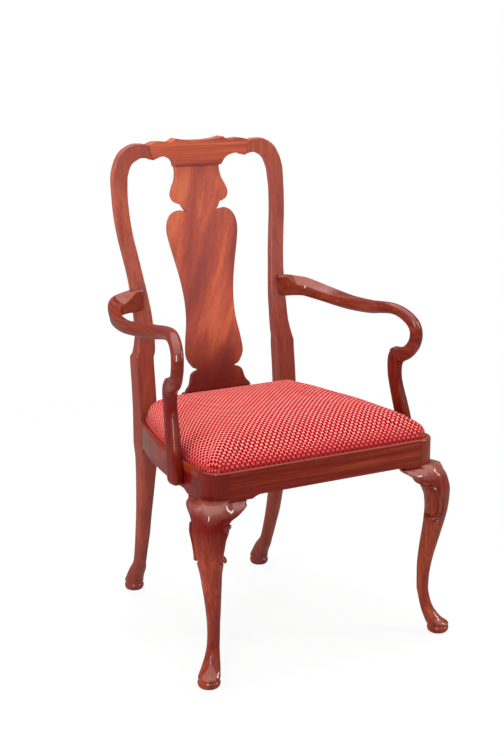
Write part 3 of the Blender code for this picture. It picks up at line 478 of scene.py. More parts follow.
def board(name, outline, thick, matrix, front_round, back_round, levels=(), shape=None):
    """A flat outline extruded to a board, cut at levels, with rounded edges, shaped, then stood in place."""
    obj = start_disc(name, len(outline))
    mesh = bmesh.from_edit_mesh(obj.data)
    for loop, (x, y) in zip(next(iter(mesh.faces)).loops, outline):
        loop.vert.co = (x, y, -thick / 2)
    bpy.ops.mesh.extrude_region_move(TRANSFORM_OT_translate={"value": (0, 0, thick)})
    for level in levels:
        bpy.ops.mesh.select_all(action="SELECT")
        bpy.ops.mesh.bisect(plane_co=(0, level, 0), plane_no=(0, 1, 0))
    close_up(obj)
    for level, radius in ((1, front_round), (-1, back_round)):
        pick(obj)
        bpy.ops.object.mode_set(mode="EDIT")
        bpy.ops.mesh.select_mode(type="EDGE")
        bpy.ops.mesh.select_all(action="DESELECT")
        mesh = bmesh.from_edit_mesh(obj.data)
        for edge in mesh.edges:
            edge.select_set(all(abs(v.co.z - level * thick / 2) < 1e-6 for v in edge.verts)
                            and edge.calc_face_angle(0.0) > 0.5)
        bmesh.update_edit_mesh(obj.data)
        bpy.ops.mesh.bevel(offset=radius, segments=3, profile=0.5, clamp_overlap=True)
        bpy.ops.object.mode_set(mode="OBJECT")
    if shape:
        for vert in obj.data.vertices:
            vert.co = shape(vert.co)
    obj.data.transform(matrix)
    return obj


def joined(name, *bodies):
    """Several bodies as one piece."""
    bpy.ops.object.select_all(action="DESELECT")
    for body in bodies:
        body.select_set(True)
    bpy.context.view_layer.objects.active = bodies[0]
    bpy.ops.object.join()
    obj = bpy.context.object
    obj.name = obj.data.name = name
    return obj


def other_side(obj, name):
    """The same piece for the other side of the chair."""
    pick(obj)
    bpy.ops.object.duplicate()
    twin = bpy.context.object
    twin.name = twin.data.name = name
    bpy.ops.object.mode_set(mode="EDIT")
    bpy.ops.mesh.select_all(action="SELECT")
    bpy.ops.transform.resize(value=(-1, 1, 1), center_override=(0, 0, 0))
    bpy.ops.mesh.normals_make_consistent(inside=False)
    bpy.ops.object.mode_set(mode="OBJECT")
    return twin


def dress(obj, material, body, slot, *nodes, angle=32, flat=False):
    """Give a piece its finish, the body it rides on and the solids it stands for.

    flat keeps flat faces evenly lit beside small rounded edges.
    """
    pick(obj)
    bpy.ops.object.shade_smooth_by_angle(angle=math.radians(angle))
    if flat:
        apply(obj, "WEIGHTED_NORMAL", mode="FACE_AREA", weight=50, keep_sharp=True)
    obj.data.materials.clear()
    obj.data.materials.append(material)
    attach(obj, body)
    if nodes:
        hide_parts(*nodes)


def polish(obj, material, node, angle=32, flat=False):
    """Dress a polished piece of the chair's frame for its solid."""
    dress(obj, material, "chair_frame", "polished_mahogany", node, angle=angle, flat=flat)


def both_sides(obj, material, node, angle=32, flat=False):
    """Dress the right piece and its twin on the left, each for its own solid."""
    twin = other_side(obj, obj.name.replace("right", "left"))
    for piece, word in ((obj, "right"), (twin, "left")):
        polish(piece, material, "%s_%s" % (node, word), angle, flat)


# Shapes shared with the solids

def curve_through(stations, at):
    """Values on a smooth curve that keeps the rise and fall of its stations."""
    table = np.array(stations, dtype=float)
    t, values = table[:, 0], table[:, 1:]
    step = np.diff(t)[:, None]
    slope = np.diff(values, axis=0) / step
    tangent = np.vstack([slope[:1], np.zeros_like(slope[1:]), slope[-1:]])
    for i in range(1, len(t) - 1):
        same = slope[i - 1] * slope[i] > 0
        pair = np.where(same, slope[i - 1] + slope[i], 1.0)
        tangent[i] = np.where(same, 2 * slope[i - 1] * slope[i] / pair, 0.0)
    at = np.atleast_1d(np.asarray(at, dtype=float))
    i = np.clip(np.searchsorted(t, at, side="right") - 1, 0, len(t) - 2)
    h = step[i]
    s = ((at - t[i])[:, None]) / h
    return (values[i] * (1 + 2 * s) * (1 - s) ** 2 + tangent[i] * h * s * (1 - s) ** 2
            + values[i + 1] * s * s * (3 - 2 * s) + tangent[i + 1] * h * s * s * (s - 1))


def flowing(points, steps):
    """Points along a smooth path through the given points."""
    pts = [Vector(p) for p in points]
    pts = [2 * pts[0] - pts[1]] + pts + [2 * pts[-1] - pts[-2]]
    path = []
    for a, b, c, d in zip(pts, pts[1:], pts[2:], pts[3:]):
        for k in range(steps):
            s = k / steps
            path.append(b + 0.5 * s * (c - a + s * (2 * a - 5 * b + 4 * c - d + s * (3 * (b - c) + d - a))))
    return path + [pts[-2]]


def filled_in(rows, step):
    """Rows that start with a place in space, with more between them about every step of length."""
    table = np.array(rows, dtype=float)
    run = np.concatenate([[0.0], np.cumsum(np.linalg.norm(np.diff(table[:, :3], axis=0), axis=1))])
    at = []
    for a, b in zip(run, run[1:]):
        count = max(1, math.ceil((b - a) / step))
        at += [a + (b - a) * k / count for k in range(count)]
    return curve_through(np.column_stack([run, table]), at + [run[-1]])


def section(count, front, back):
    """A rounded section: low powers are round, high powers are square."""
    points = []
    for i in range(count):
        angle = 2 * math.pi * (i + 0.5) / count
        c, s = math.cos(angle), math.sin(angle)
        power = 2 / (front if s < 0 else back)
        points.append((math.copysign(abs(c) ** power, c), math.copysign(abs(s) ** power, s)))
    return points


def ring(centre, across, along, half_across, half_along, count, front, back):
    """One section of a body, placed in space."""
    return [Vector(centre) + across * (half_across * u) + along * (half_along * v)
            for u, v in section(count, front, back)]


def smooth(value, low, high):
    """0 below low, 1 above high, smooth between."""
    t = np.clip((value - low) / (high - low), 0.0, 1.0)
    return t * t * (3 - 2 * t)


def side_face(y):
    """Outer face of the bowed side rail, from the centre line."""
    return SEAT_HALF - SIDE_BOW * max(y - SIDE_START, 0.0) ** 2


def side_lean(y):
    """How much wider a step along X is than a step square to the side rail."""
    return math.sqrt(1 + (2 * SIDE_BOW * max(y - SIDE_START, 0.0)) ** 2)


def corner_points(inset, steps):
    """Round of the seat's front right corner, from the front to the side."""
    radius = CORNER_RADIUS - inset
    points = []
    for k in range(steps + 1):
        angle = math.pi / 2 * (k / steps - 1)
        points.append((SEAT_HALF - CORNER_RADIUS + radius * math.cos(angle),
                       SIDE_START + radius * math.sin(angle)))
    return points


def seat_outline(inset, rear, rear_radius):
    """Plan of the seat inside the rails' outer faces, as a closed outline."""
    corner_steps, side_steps, rear_steps = 12, 16, 8
    half = corner_points(inset, corner_steps)
    last = rear - rear_radius
    for k in range(1, side_steps + 1):
        y = SIDE_START + (last - SIDE_START) * k / side_steps
        half.append((side_face(y) - inset * side_lean(y), y))
    corner = half[-1][0] - rear_radius
    for k in range(1, rear_steps + 1):
        angle = math.pi / 2 * k / rear_steps
        half.append((corner + rear_radius * math.cos(angle), last + rear_radius * math.sin(angle)))
    return half + [(-x, y) for x, y in reversed(half)]


# Front face of the back: share of its rise over the rail top, share of its whole rake
RAKE = ((-0.10, 0.0), (0.0, 0.0), (0.138, 0.078), (0.224, 0.140), (0.310, 0.245), (0.448, 0.452),
        (0.586, 0.668), (0.655, 0.765), (0.793, 0.890), (0.931, 0.975), (1.0, 1.0))


def stile_front(rise):
    """Front face of the back at a height over the rail top."""
    return POST_FRONT + BACK_SET * curve_through(RAKE, rise / BACK_RISE)[0, 0]


# The pieces

# Turned rear foot: height, share of the foot's radius
REAR_PAD = ((0.0, 0.75), (0.0012, 0.84), (0.0035, 0.93), (0.0070, 0.985), (0.0105, 1.0), (0.0122, 0.98),
            (0.0134, 0.925), (0.0146, 0.90), (0.0160, 0.92), (0.0195, 0.975))
# Rear leg: share of the height to the rail top, share of the foot's way back, fullness, squareness
REAR_LEG = ((0.081, 0.93, 0.84, 2.0), (0.124, 0.80, 0.74, 2.0), (0.180, 0.64, 0.345, 2.0),
            (0.262, 0.515, 0.36, 2.0), (0.357, 0.39, 0.395, 2.0), (0.452, 0.30, 0.415, 2.0),
            (0.571, 0.19, 0.445, 2.4), (0.690, 0.10, 0.475, 3.2), (0.785, 0.035, 0.495, 6.0))
# Height of the ankle in that list, its fullness, and how much fuller the square post is
REAR_ANKLE, ANKLE_FULL, POST_FULLER = 0.18, 0.345, 0.155
# Crook of a stile: share of the way to the crest and of the back's rise, turn in degrees, added half width
CROOK = ((0.016, 0.862, 8, 0.001), (0.107, 0.907, 28, 0.0014), (0.249, 0.937, 45, 0.0017),
         (0.457, 0.954, 60, 0.0015), (0.641, 0.9612, 68, 0.0003), (0.833, 0.9595, 73, 0.0),
         (1.0, 0.9542, 75, 0.0007))


def rear_post_body(sizes):
    """Foot, rear leg, raked stile and crook of the right side."""
    post_x = POST_HALF_OUT - POST_WIDTH / 2
    post_y = POST_FRONT + POST_DEPTH / 2
    foot_x, foot_y = REAR_FOOT
    turned, square, flat, points = 2, 14, 11, 56
    # Each row: place, half width, half depth, turn in degrees, squareness in front and behind
    rows = []
    for z, radius in REAR_PAD:
        rows.append((foot_x, foot_y, z, REAR_FOOT_RADIUS * radius, REAR_FOOT_RADIUS * radius, 0,
                     turned, turned))
    swing = foot_y - post_y
    for share, back, full, power in REAR_LEG:
        if share < REAR_ANKLE:
            wider = (REAR_FOOT_RADIUS - REAR_ANKLE_RADIUS) * (full - ANKLE_FULL) * 1.5
        else:
            wider = (POST_WIDTH / 2 - REAR_ANKLE_RADIUS) * (full - ANKLE_FULL) / POST_FULLER
        radius = REAR_ANKLE_RADIUS + wider
        x = post_x + (foot_x - post_x) * min(1.0, back + 0.25)
        rows.append((x, post_y + swing * back, share * RAIL_TOP, radius, min(radius, POST_DEPTH / 2), 0,
                     power, power))
    shoulder = SHOULDER / BACK_RISE
    for share in (-0.09, 0.0, 0.5 * shoulder, shoulder):
        half = POST_DEPTH / 2 * (1 - 0.35 * max(share, 0))
        rows.append((post_x, stile_front(share * BACK_RISE) + half, RAIL_TOP + share * BACK_RISE,
                     POST_WIDTH / 2, half, 0, square, square))
    wide, slim = POST_WIDTH / 2 + 0.0006, STILE_WIDTH / 2
    lean_out = 0.0172
    # Stile: share of the back's rise, lean to the side, half width, squareness behind
    stile = ((shoulder + 0.012, -0.0026, wide, 5.0), (0.275, -0.0065, wide - 0.001, 3.0),
             (0.310, -0.0083, wide - 0.002, 2.4), (0.379, -0.0077, wide - 0.0026, 2.2),
             (0.448, -0.0050, slim + 0.0013, 2.2), (0.517, -0.0008, slim, 2.2), (0.586, 0.0048, slim, 2.2),
             (0.655, 0.0110, slim, 2.2), (0.724, 0.0155, slim, 2.2), (0.793, lean_out, slim, 2.2))
    for share, lean, half, power in stile:
        depth = STILE_DEPTH / 2 + 0.004 * max(0.0, 1 - (share - shoulder) / 0.25)
        rows.append((post_x + lean, stile_front(share * BACK_RISE) + depth, RAIL_TOP + share * BACK_RISE,
                     half, depth, 0, flat, power))
    start, end = post_x + lean_out, CREST_HALF - 0.0044
    for share, height, turn, half in CROOK:
        rise = height * BACK_RISE
        rows.append((start + (end - start) * share, stile_front(rise) + STILE_DEPTH / 2, RAIL_TOP + rise,
                     slim + half, STILE_DEPTH / 2, turn, flat, 2.6))
    rings = []
    for x, y, z, half, depth, turn, front, back in filled_in(rows, sizes.ring_step * 1.4):
        angle = math.radians(turn)
        rings.append(ring((x, y, z), Vector((math.cos(angle), 0, math.sin(angle))), Vector((0, 1, 0)),
                          half, depth, points, front, back))
    return drawn_body("post_and_leg_right", rings)


def smooth_outline(runs, steps):
    """Runs of smooth curve that meet at corners, as one outline."""
    points = []
    for run in runs:
        points += [(p.x, p.y) for p in flowing([(x, z, 0) for x, z in run], steps)[:-1]]
    return points + [runs[-1][-1]]


def standing(front, lean, thick):
    """Place of a board that leans back from a front line at the rail top."""
    turn = Matrix.Rotation(math.pi / 2 - math.atan(lean), 4, "X")
    return Matrix.Translation((0, front, RAIL_TOP)) @ turn @ Matrix.Translation((0, 0, -thick / 2))


# Edge of the splat's right half in runs that meet at corners: share of its half width and of the back's rise
SPLAT_FOOT = ((0.89, 0.0885), (0.835, 0.0960), (0.79, 0.109), (0.765, 0.123), (0.73, 0.137), (0.65, 0.1470),
              (0.52, 0.1535))
SPLAT_VASE = ((0.52, 0.1535), (0.66, 0.164), (0.79, 0.193), (0.815, 0.222), (0.765, 0.276), (0.705, 0.325),
              (0.685, 0.372), (0.695, 0.420), (0.75, 0.482), (0.85, 0.551), (0.94, 0.606), (1.0, 0.656),
              (0.985, 0.690), (0.91, 0.715), (0.80, 0.730), (0.66, 0.737), (0.54, 0.735), (0.43, 0.730))
SPLAT_NICK = ((0.43, 0.730), (0.515, 0.748), (0.56, 0.760))
SPLAT_NECK = ((0.56, 0.760), (0.64, 0.763), (0.755, 0.773), (0.815, 0.794), (0.765, 0.820), (0.67, 0.847),
              (0.63, 0.876), (0.635, 0.8965))
RUN_STEPS = 7


def splat_body(sizes):
    """Vase-shaped splat."""
    low = (SHOE_HEIGHT + GAP + SPLAT_THICK * SPLAT_LEAN + GAP) / BACK_RISE
    foot_half, before_post = 0.955, 0.0008
    runs = (((foot_half, low), *SPLAT_FOOT), SPLAT_VASE, SPLAT_NICK, SPLAT_NECK)
    stand = math.cos(math.atan(SPLAT_LEAN))
    edge = [(x * SPLAT_HALF, z * BACK_RISE / stand) for x, z in smooth_outline(runs, RUN_STEPS)]
    outline = edge + [(-x, z) for x, z in reversed(edge)]
    place = standing(POST_FRONT - before_post, SPLAT_LEAN, SPLAT_THICK)
    return board("vase_splat", outline, SPLAT_THICK, place, sizes.soft_edge, sizes.soft_edge)


def crest_body(sizes):
    """Crest rail with its yoke."""
    high = CREST_HALF - GAP
    low = (high - 0.0088, 0.9257)
    # Edge of the right half, as runs that meet at corners: place along X, share of the back's rise
    runs = (
        ((0.0555, 0.893 + GAP / BACK_RISE), (0.0580, 0.9120), (0.0650, 0.9250), (0.0770, 0.9335),
         (0.0930, 0.9368), low),
        (low, (high, 0.9810)),
        ((high, 0.9810), (0.1120, 0.9875), (0.1020, 0.9912), (0.0860, 0.9900), (0.0720, 0.9872)),
        ((0.0720, 0.9872), (0.0640, 0.9920), (0.0565, 1.0)),
        ((0.0565, 1.0), (0.0420, 0.9945), (0.0220, 0.9905), (0.0, 0.9893)),
    )
    edge = [(x, z * BACK_RISE) for x, z in smooth_outline(runs, RUN_STEPS)]
    outline = edge + [(-x, z) for x, z in reversed(edge[:-1])]
    foot, tall, deep, half_wide, cuts = edge[0][1], 0.016, 0.0141, 0.0600, 9

    def rolled(place):
        """Round the front of the middle's lower edge back to the splat."""
        t = min(1.0, max(0.0, (place.y - foot) / tall))
        if place.z > 0 and t < 1 and abs(place.x) < half_wide:
            place.z -= deep * (1 - math.sqrt(1 - (1 - t) ** 2))
        return place

    levels = [foot + tall * (1 - math.sin(math.pi / 2 * k / cuts)) for k in range(cuts)]
    level, before_stile = 0.955, 0.0025
    front = stile_front(level * BACK_RISE) - before_stile
    return board("yoke_crest", outline, CREST_THICK, standing(front, 0.0, CREST_THICK),
                 sizes.soft_edge * 1.3, sizes.soft_edge * 2.6, levels, rolled)


def shoe_body():
    """Moulded shoe that holds the foot of the splat."""
    top, back = SHOE_HEIGHT, SHOE_DEPTH
    front = flowing([(0.0, 0.0, 0), (0.0003, 0.012, 0), (0.0035, 0.45 * top, 0), (0.0058, top - 0.011, 0),
                     (0.0046, top - 0.0065, 0), (0.0026, top - 0.0035, 0), (0.0032, top - 0.001, 0),
                     (0.0048, top, 0)], 4)
    profile = [(p.x, p.y) for p in front]
    profile += [(back - 0.006, top), (back - 0.005, top - 0.001), (back - 0.003, 0.6 * top), (back, 0.010),
                (back, 0.0)]
    face = WELL_REAR + SEAT_PLAY + GAP
    eased = 0.001
    rings = []
    for x, shrink in ((-SHOE_HALF, eased), (eased - SHOE_HALF, 0.0), (SHOE_HALF - eased, 0.0),
                      (SHOE_HALF, eased)):
        rings.append([(x, face + u + shrink * (1 - 2 * u / back), RAIL_TOP + GAP + v - shrink * (v / top))
                      for u, v in profile])
    return drawn_body("moulded_shoe", rings)


def rail_section(low):
    """Section of a rail: distance in from its outer face, and height."""
    eased, slight, steps = 0.0016, 0.0005, 6
    points = [(eased, low), (slight, low + slight), (0.0, low + eased)]
    for k in range(steps + 1):
        angle = math.pi / 2 * k / steps
        points.append((RAIL_ROUND * (1 - math.cos(angle)), RAIL_TOP - RAIL_ROUND * (1 - math.sin(angle))))
    points += [(LIP - eased, RAIL_TOP), (LIP - slight, RAIL_TOP - slight), (LIP, RAIL_TOP - eased),
               (LIP, LEDGE), (RAIL_THICK, LEDGE), (RAIL_THICK, low)]
    return points


# Edge of a rail's bracket: share of its length, share of its drop
BRACKET_EDGE = ((-2.0, 1.0), (0.0, 1.0), (0.15, 0.80), (0.40, 0.42), (0.70, 0.12), (1.0, 0.0), (99.0, 0.0))
# Ogee of a side rail by the rear post: distance along the rail, drop
REAR_OGEE = ((-1.0, 0.0), (0.0, 0.0), (0.006, 0.0035), (0.0095, 0.0020), (0.012, 0.0022), (0.019, 0.0075),
             (0.027, 0.0100), (0.034, 0.0105))


def bracket_drop(away, start, length):
    """How much lower a rail's edge is at a distance from a front leg's post."""
    return BRACKET * curve_through(BRACKET_EDGE, (away - start) / length)[0, 0]


def rail_body(name, stations):
    """A rail drawn along its outer face; each station has a point, the way in and its lower edge."""
    rings = []
    for (x, y), (in_x, in_y), low in stations:
        rings.append([(x + in_x * u, y + in_y * u, v) for u, v in rail_section(low)])
    return drawn_body(name, rings)


def front_rail_body():
    """Front rail with a bracket at each end, the left one longer."""
    reach = LEG_POST_X - GAP
    places = [*np.linspace(-reach, 0.072 - reach, 40), *np.linspace(0.09 - reach, reach - 0.06, 12),
              *np.linspace(reach - 0.045, reach, 32)]
    stations = []
    for x in places:
        drop = bracket_drop(LEG_POST_X - abs(x), *(LEFT_BRACKET if x < 0 else RIGHT_BRACKET))
        stations.append(((x, SEAT_FRONT), (0, 1), RAIL_BOTTOM - drop))
    return rail_body("front_seat_rail", stations)


def side_rail_body():
    """Bowed side rail of the right side, with a bracket in front and a small ogee drop by the rear post."""
    first, last = LEG_POST_Y + GAP, POST_FRONT - GAP
    ogee = last - REAR_OGEE[-1][0]
    places = [*np.linspace(first, first + 0.072, 40), *np.linspace(first + 0.082, ogee - 0.002, 22),
              *np.linspace(ogee, last, 24)]
    stations = []
    for y in places:
        drop = curve_through(REAR_OGEE, y - ogee)[0, 0] + bracket_drop(y - LEG_POST_Y, *SIDE_BRACKET)
        stations.append(((side_face(y), y), (-1, 0), RAIL_BOTTOM - drop))
    return rail_body("bowed_rail_right", stations)


# Front leg: height, outer and inner edge along the diagonal, half width, squareness
LEG = (
    (0.0, 0.0168, -0.0168, 0.0168, 2.0), (0.0012, 0.0187, -0.0187, 0.0187, 2.0),
    (0.0035, 0.0209, -0.0209, 0.0209, 2.0),
    (0.0070, 0.0222, -0.0222, 0.0222, 2.0), (0.0105, 0.0226, -0.0226, 0.0226, 2.0),
    (0.0122, 0.0221, -0.0222, 0.0221, 2.0), (0.0134, 0.0208, -0.0210, 0.0208, 2.0),
    (0.0146, 0.0201, -0.0206, 0.0202, 2.0), (0.0160, 0.0207, -0.0214, 0.0207, 2.0),
    (0.0195, 0.0226, -0.0247, 0.0221, 1.9), (0.0287, 0.0100, -0.0290, 0.0202, 1.8),
    (0.0397, -0.0015, -0.0335, 0.0178, 1.8), (0.0559, -0.0125, -0.0385, 0.0148, 1.9),
    (0.0742, -0.0187, -0.0425, 0.0128, 2.0), (0.0948, -0.0220, -0.0465, 0.0125, 2.0),
    (0.1139, -0.0215, -0.0470, 0.0128, 2.0), (0.1397, -0.0185, -0.0472, 0.0145, 2.0),
    (0.1672, -0.0128, -0.0455, 0.0165, 2.0), (0.1948, -0.0055, -0.0425, 0.0190, 2.0),
    (0.2205, 0.0016, -0.0390, 0.0215, 1.9), (0.2462, 0.0085, -0.0360, 0.0265, 1.75),
    (0.2720, 0.0140, -0.0345, 0.0325, 1.65), (0.2977, 0.0166, -0.0365, 0.0370, 1.6),
    (0.3124, 0.0172, -0.0420, 0.0395, 1.6), (0.3289, 0.0142, -0.0500, 0.0385, 1.6),
    (0.3473, 0.0066, -0.0560, 0.0355, 1.6), (0.3609, -0.0060, -0.0600, 0.0315, 1.6),
    (0.3675, -0.0225, -0.0620, 0.0275, 1.6),
)
OUT = Vector((1, -1, 0)).normalized()
ACROSS = Vector((1, 1, 0)).normalized()
# Scroll beside the knee: distance out along the diagonal, height, thickness as a share of the bead
SCROLL = ((-0.0168, 0.3178, 0.70), (-0.0190, 0.3192, 0.85), (-0.0196, 0.3218, 0.95), (-0.0175, 0.3240, 1.0),
          (-0.0130, 0.3230, 1.0), (-0.0070, 0.3160, 0.95), (-0.0015, 0.3005, 0.90), (0.0006, 0.2830, 0.90),
          (-0.0018, 0.2668, 1.05), (-0.0072, 0.2572, 1.5), (-0.0140, 0.2530, 2.1), (-0.0215, 0.2532, 2.4),
          (-0.0285, 0.2560, 2.1), (-0.0320, 0.2580, 1.2))


def leg_surface(out, z, sign):
    """Point of the plain leg's side at a distance out along the diagonal."""
    outer, inner, half, power = curve_through(LEG, z)[0]
    v = max(-0.97, min(0.97, (out - (outer + inner) / 2) / ((outer - inner) / 2)))
    u = (1 - abs(v) ** power) ** (1 / power)
    centre = (outer + inner) / 2 + (outer - inner) / 2 * v
    return FRONT_FOOT + OUT * centre + ACROSS * (sign * half * u) + Vector((0, 0, z))


# Ears beside the knee: distance along the rail from the leg's post, drop of the lower edge, reach outwards
EAR = ((-0.060, 0.0362, 0.0200), (-0.012, 0.0354, 0.0200), (0.0, 0.0336, 0.0200), (0.008, 0.0298, 0.0199),
       (0.014, 0.0256, 0.0195), (0.020, 0.0216, 0.0186), (0.0270, 0.0180, 0.0168), (0.0325, 0.0158, 0.0135),
       (0.0365, 0.0138, 0.0060))
EAR_END, SIDE_EAR = EAR[-1][0], 1.15 * EAR[-1][0]
# Slope of an ear from the rail to its lower edge: share of the drop, share of the reach
BELL = ((0.0, 0.02), (0.12, 0.19), (0.30, 0.45), (0.52, 0.72), (0.78, 0.94), (1.0, 1.0))
# Block behind an ear: distance along the rail, drop, how far it stands out
BLOCK = ((-0.030, 0.0500, 0.0015), (-0.020, 0.0480, 0.0020), (-0.007, 0.0435, 0.0025),
         (0.0010, 0.0390, 0.0025), (0.0062, 0.0345, 0.0020), (0.0088, 0.0305, 0.0010),
         (0.0104, 0.0245, -0.0010), (0.0130, 0.0185, -0.0020), (0.0190, 0.0148, -0.0010),
         (0.0240, 0.0130, 0.0), (0.0280, 0.0112, 0.0), (0.0308, 0.0092, 0.0))
# Hollows along the scroll: distance behind its middle line, share of the full depth
HOLLOW = ((-0.0088, 0.0), (-0.0074, 0.22), (-0.0058, 0.75), (-0.0042, 0.95), (-0.0029, 0.80), (-0.0016, 0.35),
          (0.0, 0.0), (0.0016, 0.35), (0.0026, 0.80), (0.0034, 0.55), (0.0042, 0.55), (0.0054, 0.85),
          (0.0130, 0.85), (0.0300, 0.40))
# Line that the hollows follow at the back of the leg, before and after the scroll
HOLLOW_START, HOLLOW_END = [(-0.046, 0.3190), (-0.034, 0.3205), (-0.025, 0.3232)], [(-0.045, 0.262)]
# Ridge up the front of the foot: height, squareness
RIDGE = ((-1, 2.0), (0.0158, 2.0), (0.0195, 1.75), (0.0300, 1.45), (0.0520, 1.50), (0.0900, 1.85),
         (0.12, 2.0))
# Height from which the leg is carved, and the distance between its sections there
CARVED_FROM, CARVED_STEP = 0.245, 0.0011
# Heights over which the hollows set in and end, the knee is evened, and its blend with the leg widens
HOLLOW_IN, HOLLOW_OUT = (0.2435, 0.2490), (0.3235, 0.3285)
EVENED, WIDER_BLEND = (0.308, 0.326), (0.320, 0.345)
# Depths under the rail over which the crown's corner fills out, and runs out into the leg
CROWN_FULL, CROWN_END = (BRACKET, BRACKET + 0.032), (0.012, 0.034)


def ear_reach(front, depth, centre, ways):
    """How far an ear reaches from the leg's middle each way at a depth, and how proud it starts."""
    start = LEG_POST_X - centre.x if front else centre.y - LEG_POST_Y
    at = np.linspace(start, EAR_END if front else SIDE_EAR, 140)
    drop, out = curve_through(EAR, np.minimum(at, EAR_END)).T
    keep = drop >= depth
    if not keep[0]:
        return None
    last = len(at) if keep.all() else int(np.argmin(keep))
    slope = curve_through(BELL, (depth - BRACKET) / (drop[:last] - BRACKET))[:, 0]
    at, out = at[:last], out[:last] * slope
    proud = out[0]
    # the ear's end turns in behind the rail's face
    at = np.concatenate([at, [at[-1], at[-1] - 0.0005, at[-1] - 0.002]])
    out = np.concatenate([out, [out[-1] * 0.4, -0.006, -0.022]])
    if front:
        spots = np.column_stack([LEG_POST_X - at - centre.x, SEAT_FRONT - out - centre.y])
    else:
        faces = [side_face(LEG_POST_Y + a) for a in at]
        spots = np.column_stack([faces + out - centre.x, LEG_POST_Y + at - centre.y])
    # measured from the back for the front ear and from the side for the other, so neither passes half a turn
    angles, looks = (np.arctan2(-way[:, 0], way[:, 1]) if front else np.arctan2(way[:, 1], way[:, 0])
                     for way in (spots, ways))
    order = np.argsort(angles, kind="stable")
    lengths = np.linalg.norm(spots, axis=1)
    return np.interp(looks, angles[order], lengths[order], left=0, right=0), proud


def bell_reach(z, centre, turns):
    """How far the knee and its two ears reach from the leg's middle at a height, for each turn round it."""
    depth = max(RAIL_BOTTOM - z, BRACKET)
    ways = np.array([ACROSS.to_2d() * math.cos(t) + OUT.to_2d() * math.sin(t) for t in turns])
    ears = [ear_reach(front, depth, centre, ways) for front in (True, False)]
    if any(ear is None for ear in ears):
        return None
    (front_ear, front_proud), (side_ear, side_proud) = ears
    deep, wide = centre.y - SEAT_FRONT + front_proud, SEAT_HALF + side_proud - centre.x
    corner = (ways[:, 0] > 0) & (ways[:, 1] < 0)
    square = (np.abs(ways[:, 0] / wide) ** 3 + np.abs(ways[:, 1] / deep) ** 3) ** (-1 / 3)
    # flush with the post's round corner at the top, fuller below it
    off = np.array([centre.x - SEAT_HALF + CORNER_RADIUS, centre.y - SIDE_START])
    along = ways @ off
    radius = CORNER_RADIUS + max(front_proud, side_proud)
    arc = np.sqrt(np.maximum(along ** 2 - off @ off + radius ** 2, 0)) - along
    spots = off + arc[:, None] * ways
    with np.errstate(divide="ignore"):
        arc = np.where(spots[:, 1] > 0, np.abs(wide / ways[:, 0]), arc)
        arc = np.where(spots[:, 0] < 0, np.abs(deep / ways[:, 1]), arc)
    full = smooth(depth, *CROWN_FULL)
    round_off = np.minimum(arc, square) * (1 - full) + square * full
    return np.where(corner, round_off, np.maximum(front_ear, side_ear))


def with_knee(z, leg, bell, front):
    """The leg's reach with the knee: the crown runs out in front, and the ears keep their lower edge."""
    blend = 0.009 + 0.011 * smooth(z, *WIDER_BLEND)
    near = np.maximum(blend - np.abs(leg - bell), 0.0) / blend
    full = np.maximum(leg, bell) + near * near * blend / 4
    ends = smooth(front, 0.20, 0.75) * smooth(RAIL_BOTTOM - z, *CROWN_END)
    return leg + (full - leg) * (1 - ends)


def evened_knee(reaches, heights, front):
    """Sections with the knee's bumps smoothed out, mostly in front and not at the very top."""
    even = np.array(reaches)
    all_round, in_front = 16, 120
    for k in range(in_front):
        softer = 0.5 * even + 0.25 * (np.roll(even, 1, 1) + np.roll(even, -1, 1))
        even = softer if k < all_round else even + (softer - even) * smooth(front, -0.35, 0.25)
    for _ in range(all_round):
        even[1:-1] = 0.5 * even[1:-1] + 0.25 * (even[2:] + even[:-2])
    levels = np.array(heights)
    share = smooth(levels, *EVENED) * (1 - smooth(levels, LEG_TOP - 0.005, LEG_TOP - 0.0008))
    return reaches * (1 - share[:, None]) + even * share[:, None]


def scroll_distance(out, z):
    """How far points of a leg's side at one height lie from the scroll, positive behind it."""
    route = HOLLOW_START + [row[:2] for row in SCROLL[3:]] + HOLLOW_END
    path = np.array([(p.x, p.y) for p in flowing([(x, y, 0) for x, y in route], 6)])
    step = np.diff(path, axis=0)
    off = np.column_stack([out, np.full_like(out, z)])[:, None, :] - path[:-1]
    share = np.clip((off * step).sum(-1) / (step * step).sum(-1), 0, 1)
    gap = np.linalg.norm(off - share[..., None] * step, axis=-1)
    nearest = gap.argmin(1)
    rows = np.arange(len(out))
    ahead, away = step[nearest], off[rows, nearest]
    return np.where(ahead[:, 0] * away[:, 1] > ahead[:, 1] * away[:, 0], -1, 1) * gap[rows, nearest]


def leg_heights(step):
    """Heights of the leg's sections, closer together where it is carved, and up behind the rail's bracket."""
    heights = []
    for (a, *_), (b, *_) in zip(LEG, LEG[1:]):
        count = max(1, math.ceil((b - a) / (step if b < CARVED_FROM else CARVED_STEP)))
        heights += [a + (b - a) * k / count for k in range(count)]
    heights = [z for z in heights if z < LEG_TOP - 0.0008] + [LEG_TOP - GAP]
    return heights + [float(z) for z in np.arange(LEG_TOP + 0.0006, RAIL_BOTTOM - 0.0004, 0.0010)]


